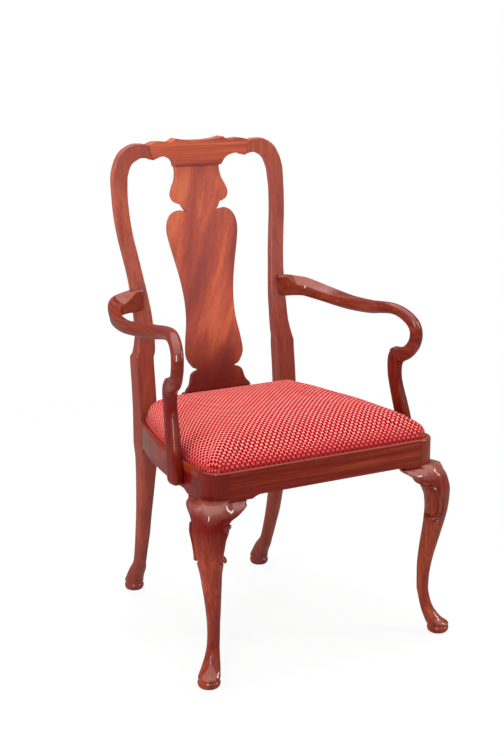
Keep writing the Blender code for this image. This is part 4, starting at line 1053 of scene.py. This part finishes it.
def cabriole_body(sizes):
    """Curved right leg with its pad foot, the knee with its ears, and the hollows beside the knee."""
    heights = leg_heights(sizes.ring_step)
    turns = 2 * math.pi * (np.arange(sizes.around) + 0.5) / sizes.around
    c, s = np.cos(turns), np.sin(turns)
    table = curve_through(LEG, heights)
    reaches = []
    for z, (outer, inner, half, power) in zip(heights, table):
        pointed = curve_through(RIDGE, z)[0, 0] if z < RIDGE[-1][0] else power
        middle, deep = (outer + inner) / 2, (outer - inner) / 2
        p = np.where(s > 0, pointed, power)
        reach = (np.abs(c / half) ** p + np.abs(s / deep) ** p) ** (-1 / p)
        bell = bell_reach(z, FRONT_FOOT + OUT * middle, turns) if z < LEG_TOP else None
        reaches.append(reach if bell is None else with_knee(z, reach, bell, s))
    rings = []
    for z, reach, (outer, inner, _, _) in zip(heights, evened_knee(np.array(reaches), heights, s), table):
        out, across = (outer + inner) / 2 + reach * s, reach * c
        cut = smooth(z, *HOLLOW_IN) * (1 - smooth(z, *HOLLOW_OUT))
        if cut > 0:
            depth = np.interp(scroll_distance(out, z), *zip(*HOLLOW))
            across -= np.sign(c) * sizes.panel_depth * cut * depth * smooth(np.abs(c), 0.15, 0.5)
        rings.append([FRONT_FOOT + OUT * o + ACROSS * a + Vector((0, 0, z)) for o, a in zip(out, across)])
    return drawn_body("cabriole", rings)


def scroll_body(sizes, sign):
    """Raised scroll on one side of the knee, rolled up at its lower end."""
    path = flowing([(out, z, thick) for out, z, thick in SCROLL], 6)
    middle = [leg_surface(p.x, p.y, sign) for p in path]
    tip, raised = 0.25, 0.15
    rings = []
    for k, (point, p) in enumerate(zip(middle, path)):
        ahead = (middle[min(k + 1, len(path) - 1)] - middle[max(k - 1, 0)]).normalized()
        proud = ACROSS * sign
        proud = (proud - ahead * proud.dot(ahead)).normalized()
        side = ahead.cross(proud)
        end = min(1.0, tip + (1 - tip) * k / 3, tip + (1 - tip) * (len(path) - 1 - k) / 3)
        radius = sizes.bead * p.z * end
        rings.append(ring(point + proud * radius * raised, side, proud, radius, radius, 12, 2, 2))
    return drawn_body("scroll", rings)


def leg_post_bodies():
    """Square post over the knee: its outer shell with the lip, and its core."""
    stations = [((LEG_POST_X, SEAT_FRONT), (0, 1), LEG_TOP)]
    for x, y in corner_points(0.0, 18):
        way = Vector((SEAT_HALF - CORNER_RADIUS - x, SIDE_START - y)).normalized()
        stations.append(((x, y), tuple(way), LEG_TOP))
    stations.append(((SEAT_HALF, LEG_POST_Y), (-1, 0), LEG_TOP))
    shell = rail_body("leg_post_shell", stations)
    inset, lower = 0.002, 0.0002
    core = [(LEG_POST_X, SEAT_FRONT + inset), (LEG_POST_X, LEG_POST_Y), (SEAT_HALF - inset, LEG_POST_Y)]
    core += reversed(corner_points(inset, 8))
    rings = [[(x, y, z) for x, y in core] for z in (LEG_TOP - lower, LEDGE - lower)]
    return shell, drawn_body("leg_post_core", rings)


def knee_block_body(name, where):
    """Block behind a knee's ear, with a rounded lower edge and a thin tongue under the rail."""
    at = np.linspace(BLOCK[0][0], BLOCK[-1][0], 70)
    rounding, behind, steps = 0.007, 0.013, 8
    rings = []
    for along, (drop, reach) in zip(at, curve_through(BLOCK, at)):
        drop -= BRACKET
        if where == "front":
            face, out = Vector((LEG_POST_X - along, SEAT_FRONT, LEG_TOP - GAP)), Vector((0, -1, 0))
        else:
            y = LEG_POST_Y + along
            face, out = Vector((side_face(y), y, LEG_TOP - GAP)), Vector((1, 0, 0))
        radius = min(rounding, 0.6 * drop)
        profile = [(reach, 0.0)]
        for k in range(steps + 1):
            turn = math.pi / 2 * k / steps
            profile.append((reach - radius * (1 - math.cos(turn)), drop - radius * (1 - math.sin(turn))))
        profile += [(-0.010, drop), (-behind, drop * 0.93), (-behind, 0.0)]
        rings.append([face + out * u - Vector((0, 0, v)) for u, v in profile])
    return drawn_body(name, rings)


def arm_path(steps):
    """Middle line of the right arm from the post to its joint, and the joint's way and place."""
    level, joint = RAIL_TOP + 0.230, RAIL_TOP + JOINT_RISE
    bow, nose, front = SEAT_HALF - 0.002, SEAT_HALF + 0.012, CROOK_FRONT
    post_y = stile_front(0.243)
    post_x = POST_HALF_OUT - POST_WIDTH / 2 - 0.006
    lean = Vector((0, 0.695, -0.72))
    meet = Vector((nose - 0.0115, JOINT_Y, joint))
    route = [(post_x, post_y + 0.0075, level + 0.0190), (post_x + 0.024, post_y + 0.003, level + 0.0190),
             (post_x + 0.046, post_y - 0.001, level + 0.0175),
             (post_x + 0.064, post_y - 0.010, level + 0.0145),
             (bow - 0.018, post_y - 0.028, level + 0.0085), (bow - 0.006, post_y - 0.060, level + 0.0025),
             (bow, post_y - 0.110, level - 0.002), (bow - 0.002, post_y - 0.160, level - 0.002),
             (bow - 0.007, front + 0.136, level + 0.0025), (bow - 0.008, front + 0.096, level + 0.008),
             (bow - 0.003, front + 0.058, level + 0.0105), (bow + 0.004, front + 0.029, level + 0.003),
             (nose - 0.003, front + 0.007, level - 0.0135), (nose, front, level - 0.034),
             (nose - 0.001, front + 0.005, joint + 0.0310), (nose - 0.006, front + 0.022, joint + 0.0105),
             tuple(meet - lean * (GAP / 2))]
    return flowing(route, steps), lean, meet


def arm_body():
    """Right arm: faceted by the post, round in its crook."""
    path, lean, _ = arm_path(12)
    slim, crease = JOINT_HALF_WIDTH, 14
    # share of the arm's length, half width, half height
    stations = ((0.0, 0.0110, 0.0238), (0.12, 0.0113, 0.0225), (0.22, 0.0118, 0.0205), (0.40, 0.0130, 0.0170),
                (0.55, 0.0140, 0.0130), (0.65, 0.0130, slim - 0.001), (0.75, slim, slim),
                (0.92, slim, slim + 0.0015), (0.965, slim, 0.0150), (1.0, slim, JOINT_HALF_HEIGHT))
    last = len(path) - 1
    halves = curve_through(stations, [k / last for k in range(last + 1)])
    rings, flat = [], None
    for k, (point, (wide, tall)) in enumerate(zip(path, halves)):
        share = k / last
        ahead = lean if k == last else (path[min(k + 1, last)] - path[max(k - 1, 0)]).normalized()
        if flat is None:
            flat = ahead.cross(Vector(UP)).normalized()
        flat = (flat - ahead * flat.dot(ahead)).normalized()
        up = flat.cross(ahead)
        power = 2.4 + 3.6 * (1 - smooth(share, 0.16, 0.46))
        facet = smooth(share, -0.05, 0.13) * (1 - smooth(share, 0.32, 0.68))
        row = []
        for u, v in section(72, power, power):
            roof = 1.0 - (u + 1) * 0.46 * facet + 0.9 * (1 - facet)
            v = -math.log(math.exp(-crease * v) + math.exp(-crease * roof)) / crease
            row.append(point + flat * (wide * u) + up * (tall * v))
        rings.append(row)
    return drawn_body("crook_arm_right", rings)


def support_body(sizes):
    """Right arm support, lapped on the outside of the side rail."""
    _, lean, meet = arm_path(1)
    start = meet + lean * (GAP / 2)
    deep, wide, tall, lap = 0.042, 0.024, JOINT_RISE, 0.048
    inside = side_face(JOINT_Y - 0.57 * deep)
    foot = RAIL_TOP - lap
    # Each row: place, half depth, half width
    rows = [(*start, JOINT_HALF_HEIGHT, JOINT_HALF_WIDTH)]
    for sink, back, fall, half_depth, half_width in (
            (0.02, 0.148, 0.070, 0.488, 0.508), (0.03, 0.190, 0.161, 0.464, 0.492),
            (0.04, 0.167, 0.288, 0.429, 0.483)):
        rows.append((start.x - sink * wide, start.y + back * deep, start.z - fall * tall,
                     half_depth * deep, half_width * wide))
    for proud, back, z, half_depth, half_width in (
            (0.15, 0.071, RAIL_TOP + 0.582 * tall, 0.433, 0.488),
            (0.27, -0.190, RAIL_TOP + 0.323 * tall, 0.464, 0.500),
            (0.38, -0.429, RAIL_TOP + 0.070 * tall, 0.476, 0.500),
            (0.42, -0.548, RAIL_TOP - 0.417 * lap, 0.500, 0.500),
            (0.42, -0.595, foot + 0.208 * lap, 0.452, 0.500),
            (0.42, -0.603, foot + 0.110 * lap, 0.410, 0.470),
            (0.42, -0.607, foot + 0.040 * lap, 0.330, 0.390), (0.42, -0.607, foot, 0.200, 0.240)):
        rows.append((inside + proud * wide, JOINT_Y + back * deep, z, half_depth * deep, half_width * wide))
    tilts = [max(0.0, 1 - k / 2.5) for k in range(len(rows))]
    powers = [2.4 + 0.35 * max(0, min(k, 8) - 4) for k in range(len(rows))]
    rings = []
    for x, y, z, half_depth, half_width, tilt, power in filled_in(
            [(*row, tilt, power) for row, tilt, power in zip(rows, tilts, powers)], sizes.ring_step):
        run = Vector((0, lean.y * tilt, -1 + tilt * (1 + lean.z))).normalized()
        across = Vector((1, 0, 0))
        rings.append(ring((x, y, z), across, across.cross(run), half_width, half_depth, 44, power, power))
    return drawn_body("arm_stump_right", rings)


def strap_body(name, along, offset, reach, width, phase, crossings):
    """One strap of webbing that passes over and under the straps across it."""
    bpy.ops.object.select_all(action="DESELECT")
    bpy.ops.mesh.primitive_grid_add(x_subdivisions=120, y_subdivisions=4, size=1.0, location=(0, 0, 0))
    obj = bpy.context.object
    obj.name = obj.data.name = name
    low, high = reach
    middle, weave = FRAME_TOP + GAP + 1.5 * STRAP_THICK, 0.00085
    for vert in obj.data.vertices:
        place = low + (high - low) * (vert.co.x + 0.5)
        side = offset + vert.co.y * width
        lift = 0.0
        for k, crossing in enumerate(crossings):
            lift += (1 if (k + phase) % 2 else -1) * math.exp(-((place - crossing) / (0.55 * width)) ** 4)
        end = min(place - low, high - place)
        z = middle + weave * max(-1.0, min(1.0, lift)) * smooth(end, 0.02, 0.05)
        vert.co = (place, side, z) if along == "X" else (side, place, z)
    return apply(obj, "SOLIDIFY", thickness=STRAP_THICK, offset=0.0)


def edge_height(x, y):
    """Height of the stuffing's edge over its base: more towards the rear, less in the corners."""
    rear = smooth(y, -0.18, 0.15) * (1 - 0.45 * smooth(abs(x), 0.10, 0.19))
    side = smooth(abs(x), 0.12, 0.20) * smooth(y, -0.27, -0.19) * (1 - smooth(y, -0.10, 0.04))
    return RAIL_TOP - CUSHION_BASE + SEAT_EDGE + SEAT_REAR_LIFT * rear + SEAT_SIDE_LIFT * side


# Side of the stuffed seat: distance in from its fullest line, share of its edge's height
CUSHION_SIDE = ((0.006, 0.0), (0.0015, 0.10), (0.0, 0.25), (0.0003, 0.38), (0.002, 0.54), (0.0055, 0.71),
                (0.0105, 0.85), (0.0155, 0.95), (0.0195, 1.0))
# Rings of its top, as shares of the way from the edge to the middle
CUSHION_TOP = (0.05, 0.11, 0.18, 0.26, 0.36, 0.48, 0.62, 0.78, 0.93)


def cushion_body(shrink):
    """Stuffed seat before the cover is pulled tight, as a dome with full edges."""
    side, behind, rear_radius = 0.007, 0.001, 0.016
    rings = []
    for inset, share in CUSHION_SIDE:
        plan = seat_outline(side + inset + shrink, SEAT_REAR - inset + behind - shrink, rear_radius)
        rings.append([Vector((x, y, CUSHION_BASE + share * (edge_height(x, y) - shrink))) for x, y in plan])
    rim = rings[-1]
    middle = (SEAT_FRONT + SEAT_REAR) / 2
    top = RAIL_TOP + SEAT_CROWN - shrink
    for share in CUSHION_TOP:
        crown = 1 - (1 - share) ** 3.2
        rings.append([Vector((point.x * (1 - share), point.y + (middle - point.y) * share,
                              point.z + (top - point.z) * crown)) for point in rim])
    return drawn_body("stuffed_seat", rings)


def points_of(obj):
    """Places of an object's points, as an array."""
    places = np.empty(len(obj.data.vertices) * 3)
    obj.data.vertices.foreach_get("co", places)
    return places.reshape(-1, 3)


def pull_tight(obj, sizes):
    """Swell the stuffing under its cover by a short cloth simulation."""
    frames, pressure, held_below = 20, 4.0, RAIL_TOP + 0.0055
    before = points_of(obj)
    held = obj.vertex_groups.new(name="held")
    held.add([int(k) for k in np.nonzero(before[:, 2] < held_below)[0]], 1.0, "REPLACE")
    pick(obj)
    bpy.ops.object.modifier_add(type="CLOTH")
    cloth = obj.modifiers[-1]
    cloth.settings.use_pressure = True
    cloth.settings.uniform_pressure_force = pressure
    cloth.settings.effector_weights.gravity = 0.0
    cloth.settings.vertex_group_mass = held.name
    cloth.point_cache.frame_start, cloth.point_cache.frame_end = 1, frames
    for step in range(1, frames + 1):
        bpy.context.scene.frame_set(step)
    bpy.ops.object.modifier_apply(modifier=cloth.name)
    move = points_of(obj) - before
    length = np.linalg.norm(move, axis=1)
    move *= (sizes.swell * np.tanh(length / sizes.swell) / np.maximum(length, 1e-9))[:, None]
    obj.data.vertices.foreach_set("co", (before + move).ravel())
    obj.data.update()
    obj.vertex_groups.clear()
    bpy.context.scene.frame_set(1)


def unroll_cover(obj):
    """Keep, on each point, about its place on the cloth before it was pulled down the sides."""
    share, steep = 0.4, 1.6
    places = points_of(obj)
    normals = np.empty_like(places).ravel()
    obj.data.vertices.foreach_get("normal", normals)
    flat = normals.reshape(-1, 3)[:, :2]
    length = np.maximum(np.linalg.norm(flat, axis=1), 1e-6)
    edge = CUSHION_BASE + np.array([edge_height(x, y) for x, y in places[:, :2]])
    down = np.clip(edge - places[:, 2], 0.0, None)
    cover = places.copy()
    cover[:, :2] += flat / length[:, None] * (share * down * np.clip(length * steep, 0, 1))[:, None]
    cover[:, 2] = 0.0
    kept_on = obj.data.attributes.new("cover", "FLOAT_VECTOR", "POINT")
    kept_on.data.foreach_set("vector", cover.ravel().astype(np.float32))


def cover_edge_body():
    """Band of the cover that is pulled down over the seat frame's edge."""
    proud, rear_radius = 0.0009, 0.006
    half_width, half_depth = 0.25, 0.20
    plan = seat_outline(LIP + SEAT_PLAY - proud, SEAT_REAR + proud, rear_radius)
    obj = start_disc("cover_edge", len(plan), "NOTHING")
    bpy.ops.mesh.select_mode(type="EDGE")
    bpy.ops.mesh.select_all(action="SELECT")
    # height, and how far the band is tucked in there
    levels = ((FRAME_BASE + 0.0002, 0.0), (FRAME_TOP, 0.0), (CUSHION_BASE + 0.002, 0.0),
              (CUSHION_BASE + 0.005, 0.002))
    for k, (z, tuck) in enumerate(levels):
        if k:
            bpy.ops.mesh.extrude_region_move()
        mesh = bmesh.from_edit_mesh(obj.data)
        for vert, (x, y) in zip([vert for vert in mesh.verts if vert.select], plan):
            vert.co = (x * (1 - tuck / half_width), y * (1 - tuck / half_depth), z)
    bmesh.update_edit_mesh(obj.data)
    bpy.ops.mesh.select_all(action="SELECT")
    bpy.ops.mesh.normals_make_consistent(inside=False)
    bpy.ops.object.mode_set(mode="OBJECT")
    return apply(obj, "SOLIDIFY", thickness=COVER_THICK, offset=-1.0)


# Stage

def studio_floor(front):
    """White floor that the camera sees as plain white and the polish as dim, most of all in front."""
    f = Finish(bpy.data.materials.new("pale_floor"))
    seen, glossy = f.rays()
    place = f.object_place()
    far = f.rise(f.add("ShaderNodeVectorMath", {"operation": "LENGTH"}, {0: place}, 1), 0.9, 2.6)
    dim = f.rise(f.along(place, front), 0.35, 1.0)
    matt = f.add("ShaderNodeBsdfDiffuse", None, {0: (0.9, 0.9, 0.9, 1)})
    white = f.add("ShaderNodeEmission", None, {0: (1, 1, 1, 1), 1: 1 - glossy * (0.80 + 0.15 * dim)})
    plain = seen * (0.90 + 0.10 * far) + glossy * 0.85
    lit = f.add("ShaderNodeMixShader", None, {0: plain, 1: matt, 2: white})
    f.feed(f.tree.nodes["Material Output"].inputs["Surface"], lit)
    return f.owner


def studio_light(front, sky):
    """World that is white to the camera, and as light and reflection bright overhead and dark in front."""
    w = Finish(bpy.data.worlds.new("studio_light"))
    seen, glossy = w.rays()
    way = w.add("ShaderNodeTexCoord", None, None, 0)
    ahead, up = w.along(way, front), w.along(way, UP)
    shade, behind = w.rise(ahead, 0.0, 0.75), 0.35 * w.rise(0 - ahead, 0.3, 1.0)
    over = w.rise(up, 0.55, 0.85)
    light = 1 - 0.80 * shade - behind
    light = sky * light.math("MAXIMUM", light, 2.2 * over)
    mirror = 0.35 * (1 - shade - behind) + shade * (0.03 + 1.0 * w.rise(up, 0.13, 0.31))
    mirror = mirror.math("MAXIMUM", mirror, 3.3 * over)
    level = light + glossy * (mirror - light)
    background = w.tree.nodes["Background"].inputs
    w.feed(background["Strength"], seen + (1 - seen) * level)
    w.feed(background["Color"], (1, 1, 1, 1))
    return w.owner


def add_softbox(name, place, wide, tall, power):
    """A flat lamp turned to the chair; a wide one has no reflection."""
    bpy.ops.object.light_add(type="AREA", location=place)
    lamp = bpy.context.object
    lamp.name = name
    lamp.data.shape, lamp.data.energy = "RECTANGLE", power
    lamp.data.size, lamp.data.size_y = wide, tall
    lamp.visible_glossy = wide < 1
    lamp.rotation_euler = (Vector((0, 0, 0.5)) - Vector(place)).to_track_quat("-Z", "Y").to_euler()


# Operators

class CHAIR_OT_stage(Operator):
    """Set up the floor, the light and the camera"""
    bl_idname = "chair.stage"
    bl_label = "Stage"

    def execute(self, context):
        scene, stage = context.scene, context.scene.chair_stage
        scene.view_settings.view_transform = "Standard"
        bpy.ops.object.select_all(action="DESELECT")
        bpy.ops.object.camera_add(location=CAMERA_PLACE)
        camera = context.object
        camera.name = "photo_camera"
        camera.data.lens, camera.data.sensor_width = stage.lens, 36.0
        azimuth, rise = math.radians(CAMERA_AZIMUTH), math.radians(CAMERA_RISE)
        front = Vector((math.sin(azimuth), -math.cos(azimuth), 0))
        back = front * math.cos(rise) + Vector((0, 0, math.sin(rise)))
        camera.rotation_euler = (-back).to_track_quat("-Z", "Y").to_euler()
        scene.camera = camera

        bpy.ops.mesh.primitive_plane_add(size=30, location=(0, 0, -GAP))
        floor = context.object
        floor.name = "studio_floor"
        floor.data.materials.append(studio_floor(tuple(front)))
        scene.world = studio_light(tuple(front), stage.sky)
        add_softbox("left_softbox", (-1.9, -2.1, 1.9), 0.40, 1.4, stage.left_lamp)
        add_softbox("side_softbox", (-2.3, 0.1, 1.1), 1.7, 1.7, stage.side_lamp)
        add_softbox("right_softbox", (2.4, -1.5, 1.9), 0.36, 1.4, stage.right_lamp)
        add_softbox("top_softbox", (0.1, 0.2, 2.9), 1.8, 1.8, stage.top_lamp)
        return {"FINISHED"}


class CHAIR_OT_rear_posts(Operator):
    """Model the rear legs with the raked stiles and their crooks"""
    bl_idname = "chair.rear_posts"
    bl_label = "Rear Posts"

    def execute(self, context):
        # painted shade darkens the posts from the seat down, fading out up the back; a painted sheen veils
        # them all over
        wood = polished_wood("mahogany_posts", "Z", 1.50, shift=(0.13, 0.0, 0.4), calm=1.3,
                             foot=(0.42, 0.95, 0.50), painted_sheen=0.085)
        both_sides(rear_post_body(context.scene.chair_sizes), wood, "rear_post", flat=True)
        return {"FINISHED"}


def long_wood():
    """Finish of the pieces that lie across the chair, with painted shade that makes them darker on the left.
    """
    return polished_wood("mahogany_long", "X", 1.08, foot=(0.60, 0.70, 0.35), fade=1.0)


class CHAIR_OT_back(Operator):
    """Model the crest rail, the splat and its shoe"""
    bl_idname = "chair.back"
    bl_label = "Back"

    def execute(self, context):
        sizes = context.scene.chair_sizes
        # painted shade darkens the splat's foot; a painted sheen veils the splat and the crest
        splat_wood = polished_wood("mahogany_splat", "Z", 1.85, 0.97, turn=(0, -0.30, 0), calm=0.95,
                                   broad=0.70, foot=(0.445, 0.62, 0.90), painted_sheen=0.085)
        crest_wood = polished_wood("mahogany_crest", "X", 1.95, 0.95, shift=(0.6, 0, 0.2), calm=1.2,
                                   painted_sheen=0.075)
        polish(splat_body(sizes), splat_wood, "splat", flat=True)
        polish(crest_body(sizes), crest_wood, "crest_rail", flat=True)
        polish(shoe_body(), long_wood(), "splat_shoe", flat=True)
        return {"FINISHED"}


class CHAIR_OT_rails(Operator):
    """Model the seat rails"""
    bl_idname = "chair.rails"
    bl_label = "Seat Rails"

    def execute(self, context):
        polish(front_rail_body(), long_wood(), "front_rail", flat=True)
        both_sides(side_rail_body(), polished_wood("mahogany_sides", "Y", 0.98), "side_rail", flat=True)
        soften("rear_rail", long_wood(), context.scene.chair_sizes.soft_edge)
        return {"FINISHED"}


def leg_wood():
    """Finish of the front legs and their knee blocks, with painted shade that darkens the knees, most of all
    the left one, a painted sheen on the knees' crowns and a faint one all over.
    """
    return polished_wood("mahogany_legs", "Z", 1.05, 1.04, shift=(0.3, 0.1, 0), foot=(0.33, 0.24, 0.85),
                         fade=0.9, painted_sheen=0.015, crown=0.15)


class CHAIR_OT_front_legs(Operator):
    """Model the front legs with their posts and carved knees"""
    bl_idname = "chair.front_legs"
    bl_label = "Front Legs"

    def execute(self, context):
        sizes = context.scene.chair_sizes
        shell, core = leg_post_bodies()
        leg = joined("carved_leg_right", cabriole_body(sizes), shell, core, scroll_body(sizes, 1),
                     scroll_body(sizes, -1))
        both_sides(leg, leg_wood(), "front_leg", 40)
        return {"FINISHED"}


class CHAIR_OT_knee_blocks(Operator):
    """Model the blocks behind the ears of the knees"""
    bl_idname = "chair.knee_blocks"
    bl_label = "Knee Blocks"

    def execute(self, context):
        for where in ("front", "side"):
            block = knee_block_body("%s_ear_right" % where, where)
            both_sides(block, leg_wood(), "%s_knee_block" % where, 40)
        return {"FINISHED"}


class CHAIR_OT_arms(Operator):
    """Model the crook arms"""
    bl_idname = "chair.arms"
    bl_label = "Arms"

    def execute(self, context):
        # the arms lie wholly on the dark side of foot, so they are darker all over; a faint painted sheen
        # veils them
        wood = polished_wood("mahogany_arms", "Y", 0.95, 0.98, shift=(0, 0.2, 0), foot=(0.9, 1.0, 0.25),
                             painted_sheen=0.015)
        both_sides(arm_body(), wood, "arm", 60)
        return {"FINISHED"}


class CHAIR_OT_supports(Operator):
    """Model the arm supports"""
    bl_idname = "chair.supports"
    bl_label = "Arm Supports"

    def execute(self, context):
        wood = polished_wood("mahogany_supports", "Z", 0.90, shift=(0.7, 0, 0.1), foot=(0.70, 0.90, 0.60))
        both_sides(support_body(context.scene.chair_sizes), wood, "arm_support")
        return {"FINISHED"}


def soften(node, material, radius):
    """Finish a solid that keeps its shape, with its sawn edges eased."""
    obj = bpy.data.objects[node]
    obj.material_slots[0].material = material
    weld = obj.modifiers.new("weld", "WELD")
    weld.merge_threshold = 0.00002
    ease = obj.modifiers.new("eased_edges", "BEVEL")
    ease.width, ease.segments, ease.limit_method, ease.angle_limit = radius, 2, "ANGLE", math.radians(40)


class CHAIR_OT_seat_base(Operator):
    """Finish the seat frame and the corner blocks, and weave the webbing"""
    bl_idname = "chair.seat_base"
    bl_label = "Seat Base"

    def execute(self, context):
        radius = context.scene.chair_sizes.soft_edge
        for word in ("front", "rear"):
            soften("seat_frame_" + word, bare_wood("bare_bars_across", "X"), radius)
        for word, side in (("left", 1), ("right", -1)):
            soften("seat_frame_" + word, bare_wood("bare_bars_along", "Y"), radius)
            for where, end in (("front", 1), ("rear", -1)):
                turn = (0, 0, side * end * math.radians(45))
                wood = bare_wood("bare_block_%s_%s" % (where, word), "X", turn)
                soften("%s_corner_block_%s" % (where, word), wood, radius)

        boxes = {way: [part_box("webbing_%s_%d" % (way, k)) for k in (1, 2, 3)] for way in ("long", "cross")}
        for way, other, along, across in (("long", "cross", 1, 0), ("cross", "long", 0, 1)):
            crossings = [(low[along] + high[along]) / 2 for low, high in boxes[other]]
            webbing = jute("jute_" + way, "XY"[along], "XY"[across])
            for k, (low, high) in enumerate(boxes[way], start=1):
                middle, width = (low[across] + high[across]) / 2, high[across] - low[across]
                phase = k if way == "long" else k + 1
                strap = strap_body("strap_%s_%d" % (way, k), "XY"[along], middle, (low[along], high[along]),
                                   width, phase, crossings)
                dress(strap, webbing, "slip_seat", "jute_webbing", "webbing_%s_%d" % (way, k))
        return {"FINISHED"}


class CHAIR_OT_cushion(Operator):
    """Stuff the seat and pull its cover tight"""
    bl_idname = "chair.cushion"
    bl_label = "Stuffed Seat"

    def execute(self, context):
        sizes = context.scene.chair_sizes
        room_to_swell = 0.0025
        seat = cushion_body(room_to_swell)
        apply(seat, "REMESH", mode="VOXEL", voxel_size=sizes.cloth_grid, use_smooth_shade=True)
        pull_tight(seat, sizes)
        apply(seat, "SMOOTH", factor=0.5, iterations=3)
        apply(seat, "SUBSURF", levels=1, render_levels=1)
        cloth = seat_cloth("red_lattice_cloth")
        dress(seat, cloth, "slip_seat", "red_fabric", "seat_cushion", angle=80)
        unroll_cover(seat)
        seat.data.materials.append(hessian("hessian_lining"))
        for face in seat.data.polygons:
            under = face.normal.z < -0.8 and face.center.z < CUSHION_BASE + 0.002
            face.material_index = 1 if under else 0
        edge = cover_edge_body()
        dress(edge, cloth, "slip_seat", "red_fabric", angle=60)
        unroll_cover(edge)
        return {"FINISHED"}


class CHAIR_PT_panel(Panel):
    """Pieces of the chair, in the order they are made"""
    bl_idname = "CHAIR_PT_panel"
    bl_label = "Crook-arm Chair"
    bl_space_type = "VIEW_3D"
    bl_region_type = "UI"
    bl_category = "Chair"

    def draw(self, context):
        scene = context.scene
        for group in (scene.chair_sizes, scene.chair_finishes, scene.chair_stage):
            box = self.layout.box()
            for key in group.__annotations__:
                box.prop(group, key)
        for step in STEPS:
            self.layout.operator(step.bl_idname)


STEPS = (CHAIR_OT_stage, CHAIR_OT_rear_posts, CHAIR_OT_back, CHAIR_OT_rails, CHAIR_OT_front_legs,
         CHAIR_OT_knee_blocks, CHAIR_OT_arms, CHAIR_OT_supports, CHAIR_OT_seat_base, CHAIR_OT_cushion)
GROUPS = (("chair_sizes", ChairSizes), ("chair_finishes", ChairFinishes), ("chair_stage", ChairStage))


def register():
    for name, group in GROUPS:
        bpy.utils.register_class(group)
        setattr(bpy.types.Scene, name, PointerProperty(type=group))
    for step in STEPS:
        bpy.utils.register_class(step)
    bpy.utils.register_class(CHAIR_PT_panel)


def unregister():
    bpy.utils.unregister_class(CHAIR_PT_panel)
    for step in reversed(STEPS):
        bpy.utils.unregister_class(step)
    for name, group in reversed(GROUPS):
        delattr(bpy.types.Scene, name)
        bpy.utils.unregister_class(group)


def main():
    """Make the chair's pieces in order."""
    register()
    bpy.ops.chair.stage()
    bpy.ops.chair.rear_posts()
    bpy.ops.chair.back()
    bpy.ops.chair.rails()
    bpy.ops.chair.front_legs()
    bpy.ops.chair.knee_blocks()
    bpy.ops.chair.arms()
    bpy.ops.chair.supports()
    bpy.ops.chair.seat_base()
    bpy.ops.chair.cushion()


if __name__ == "__main__":
    main()
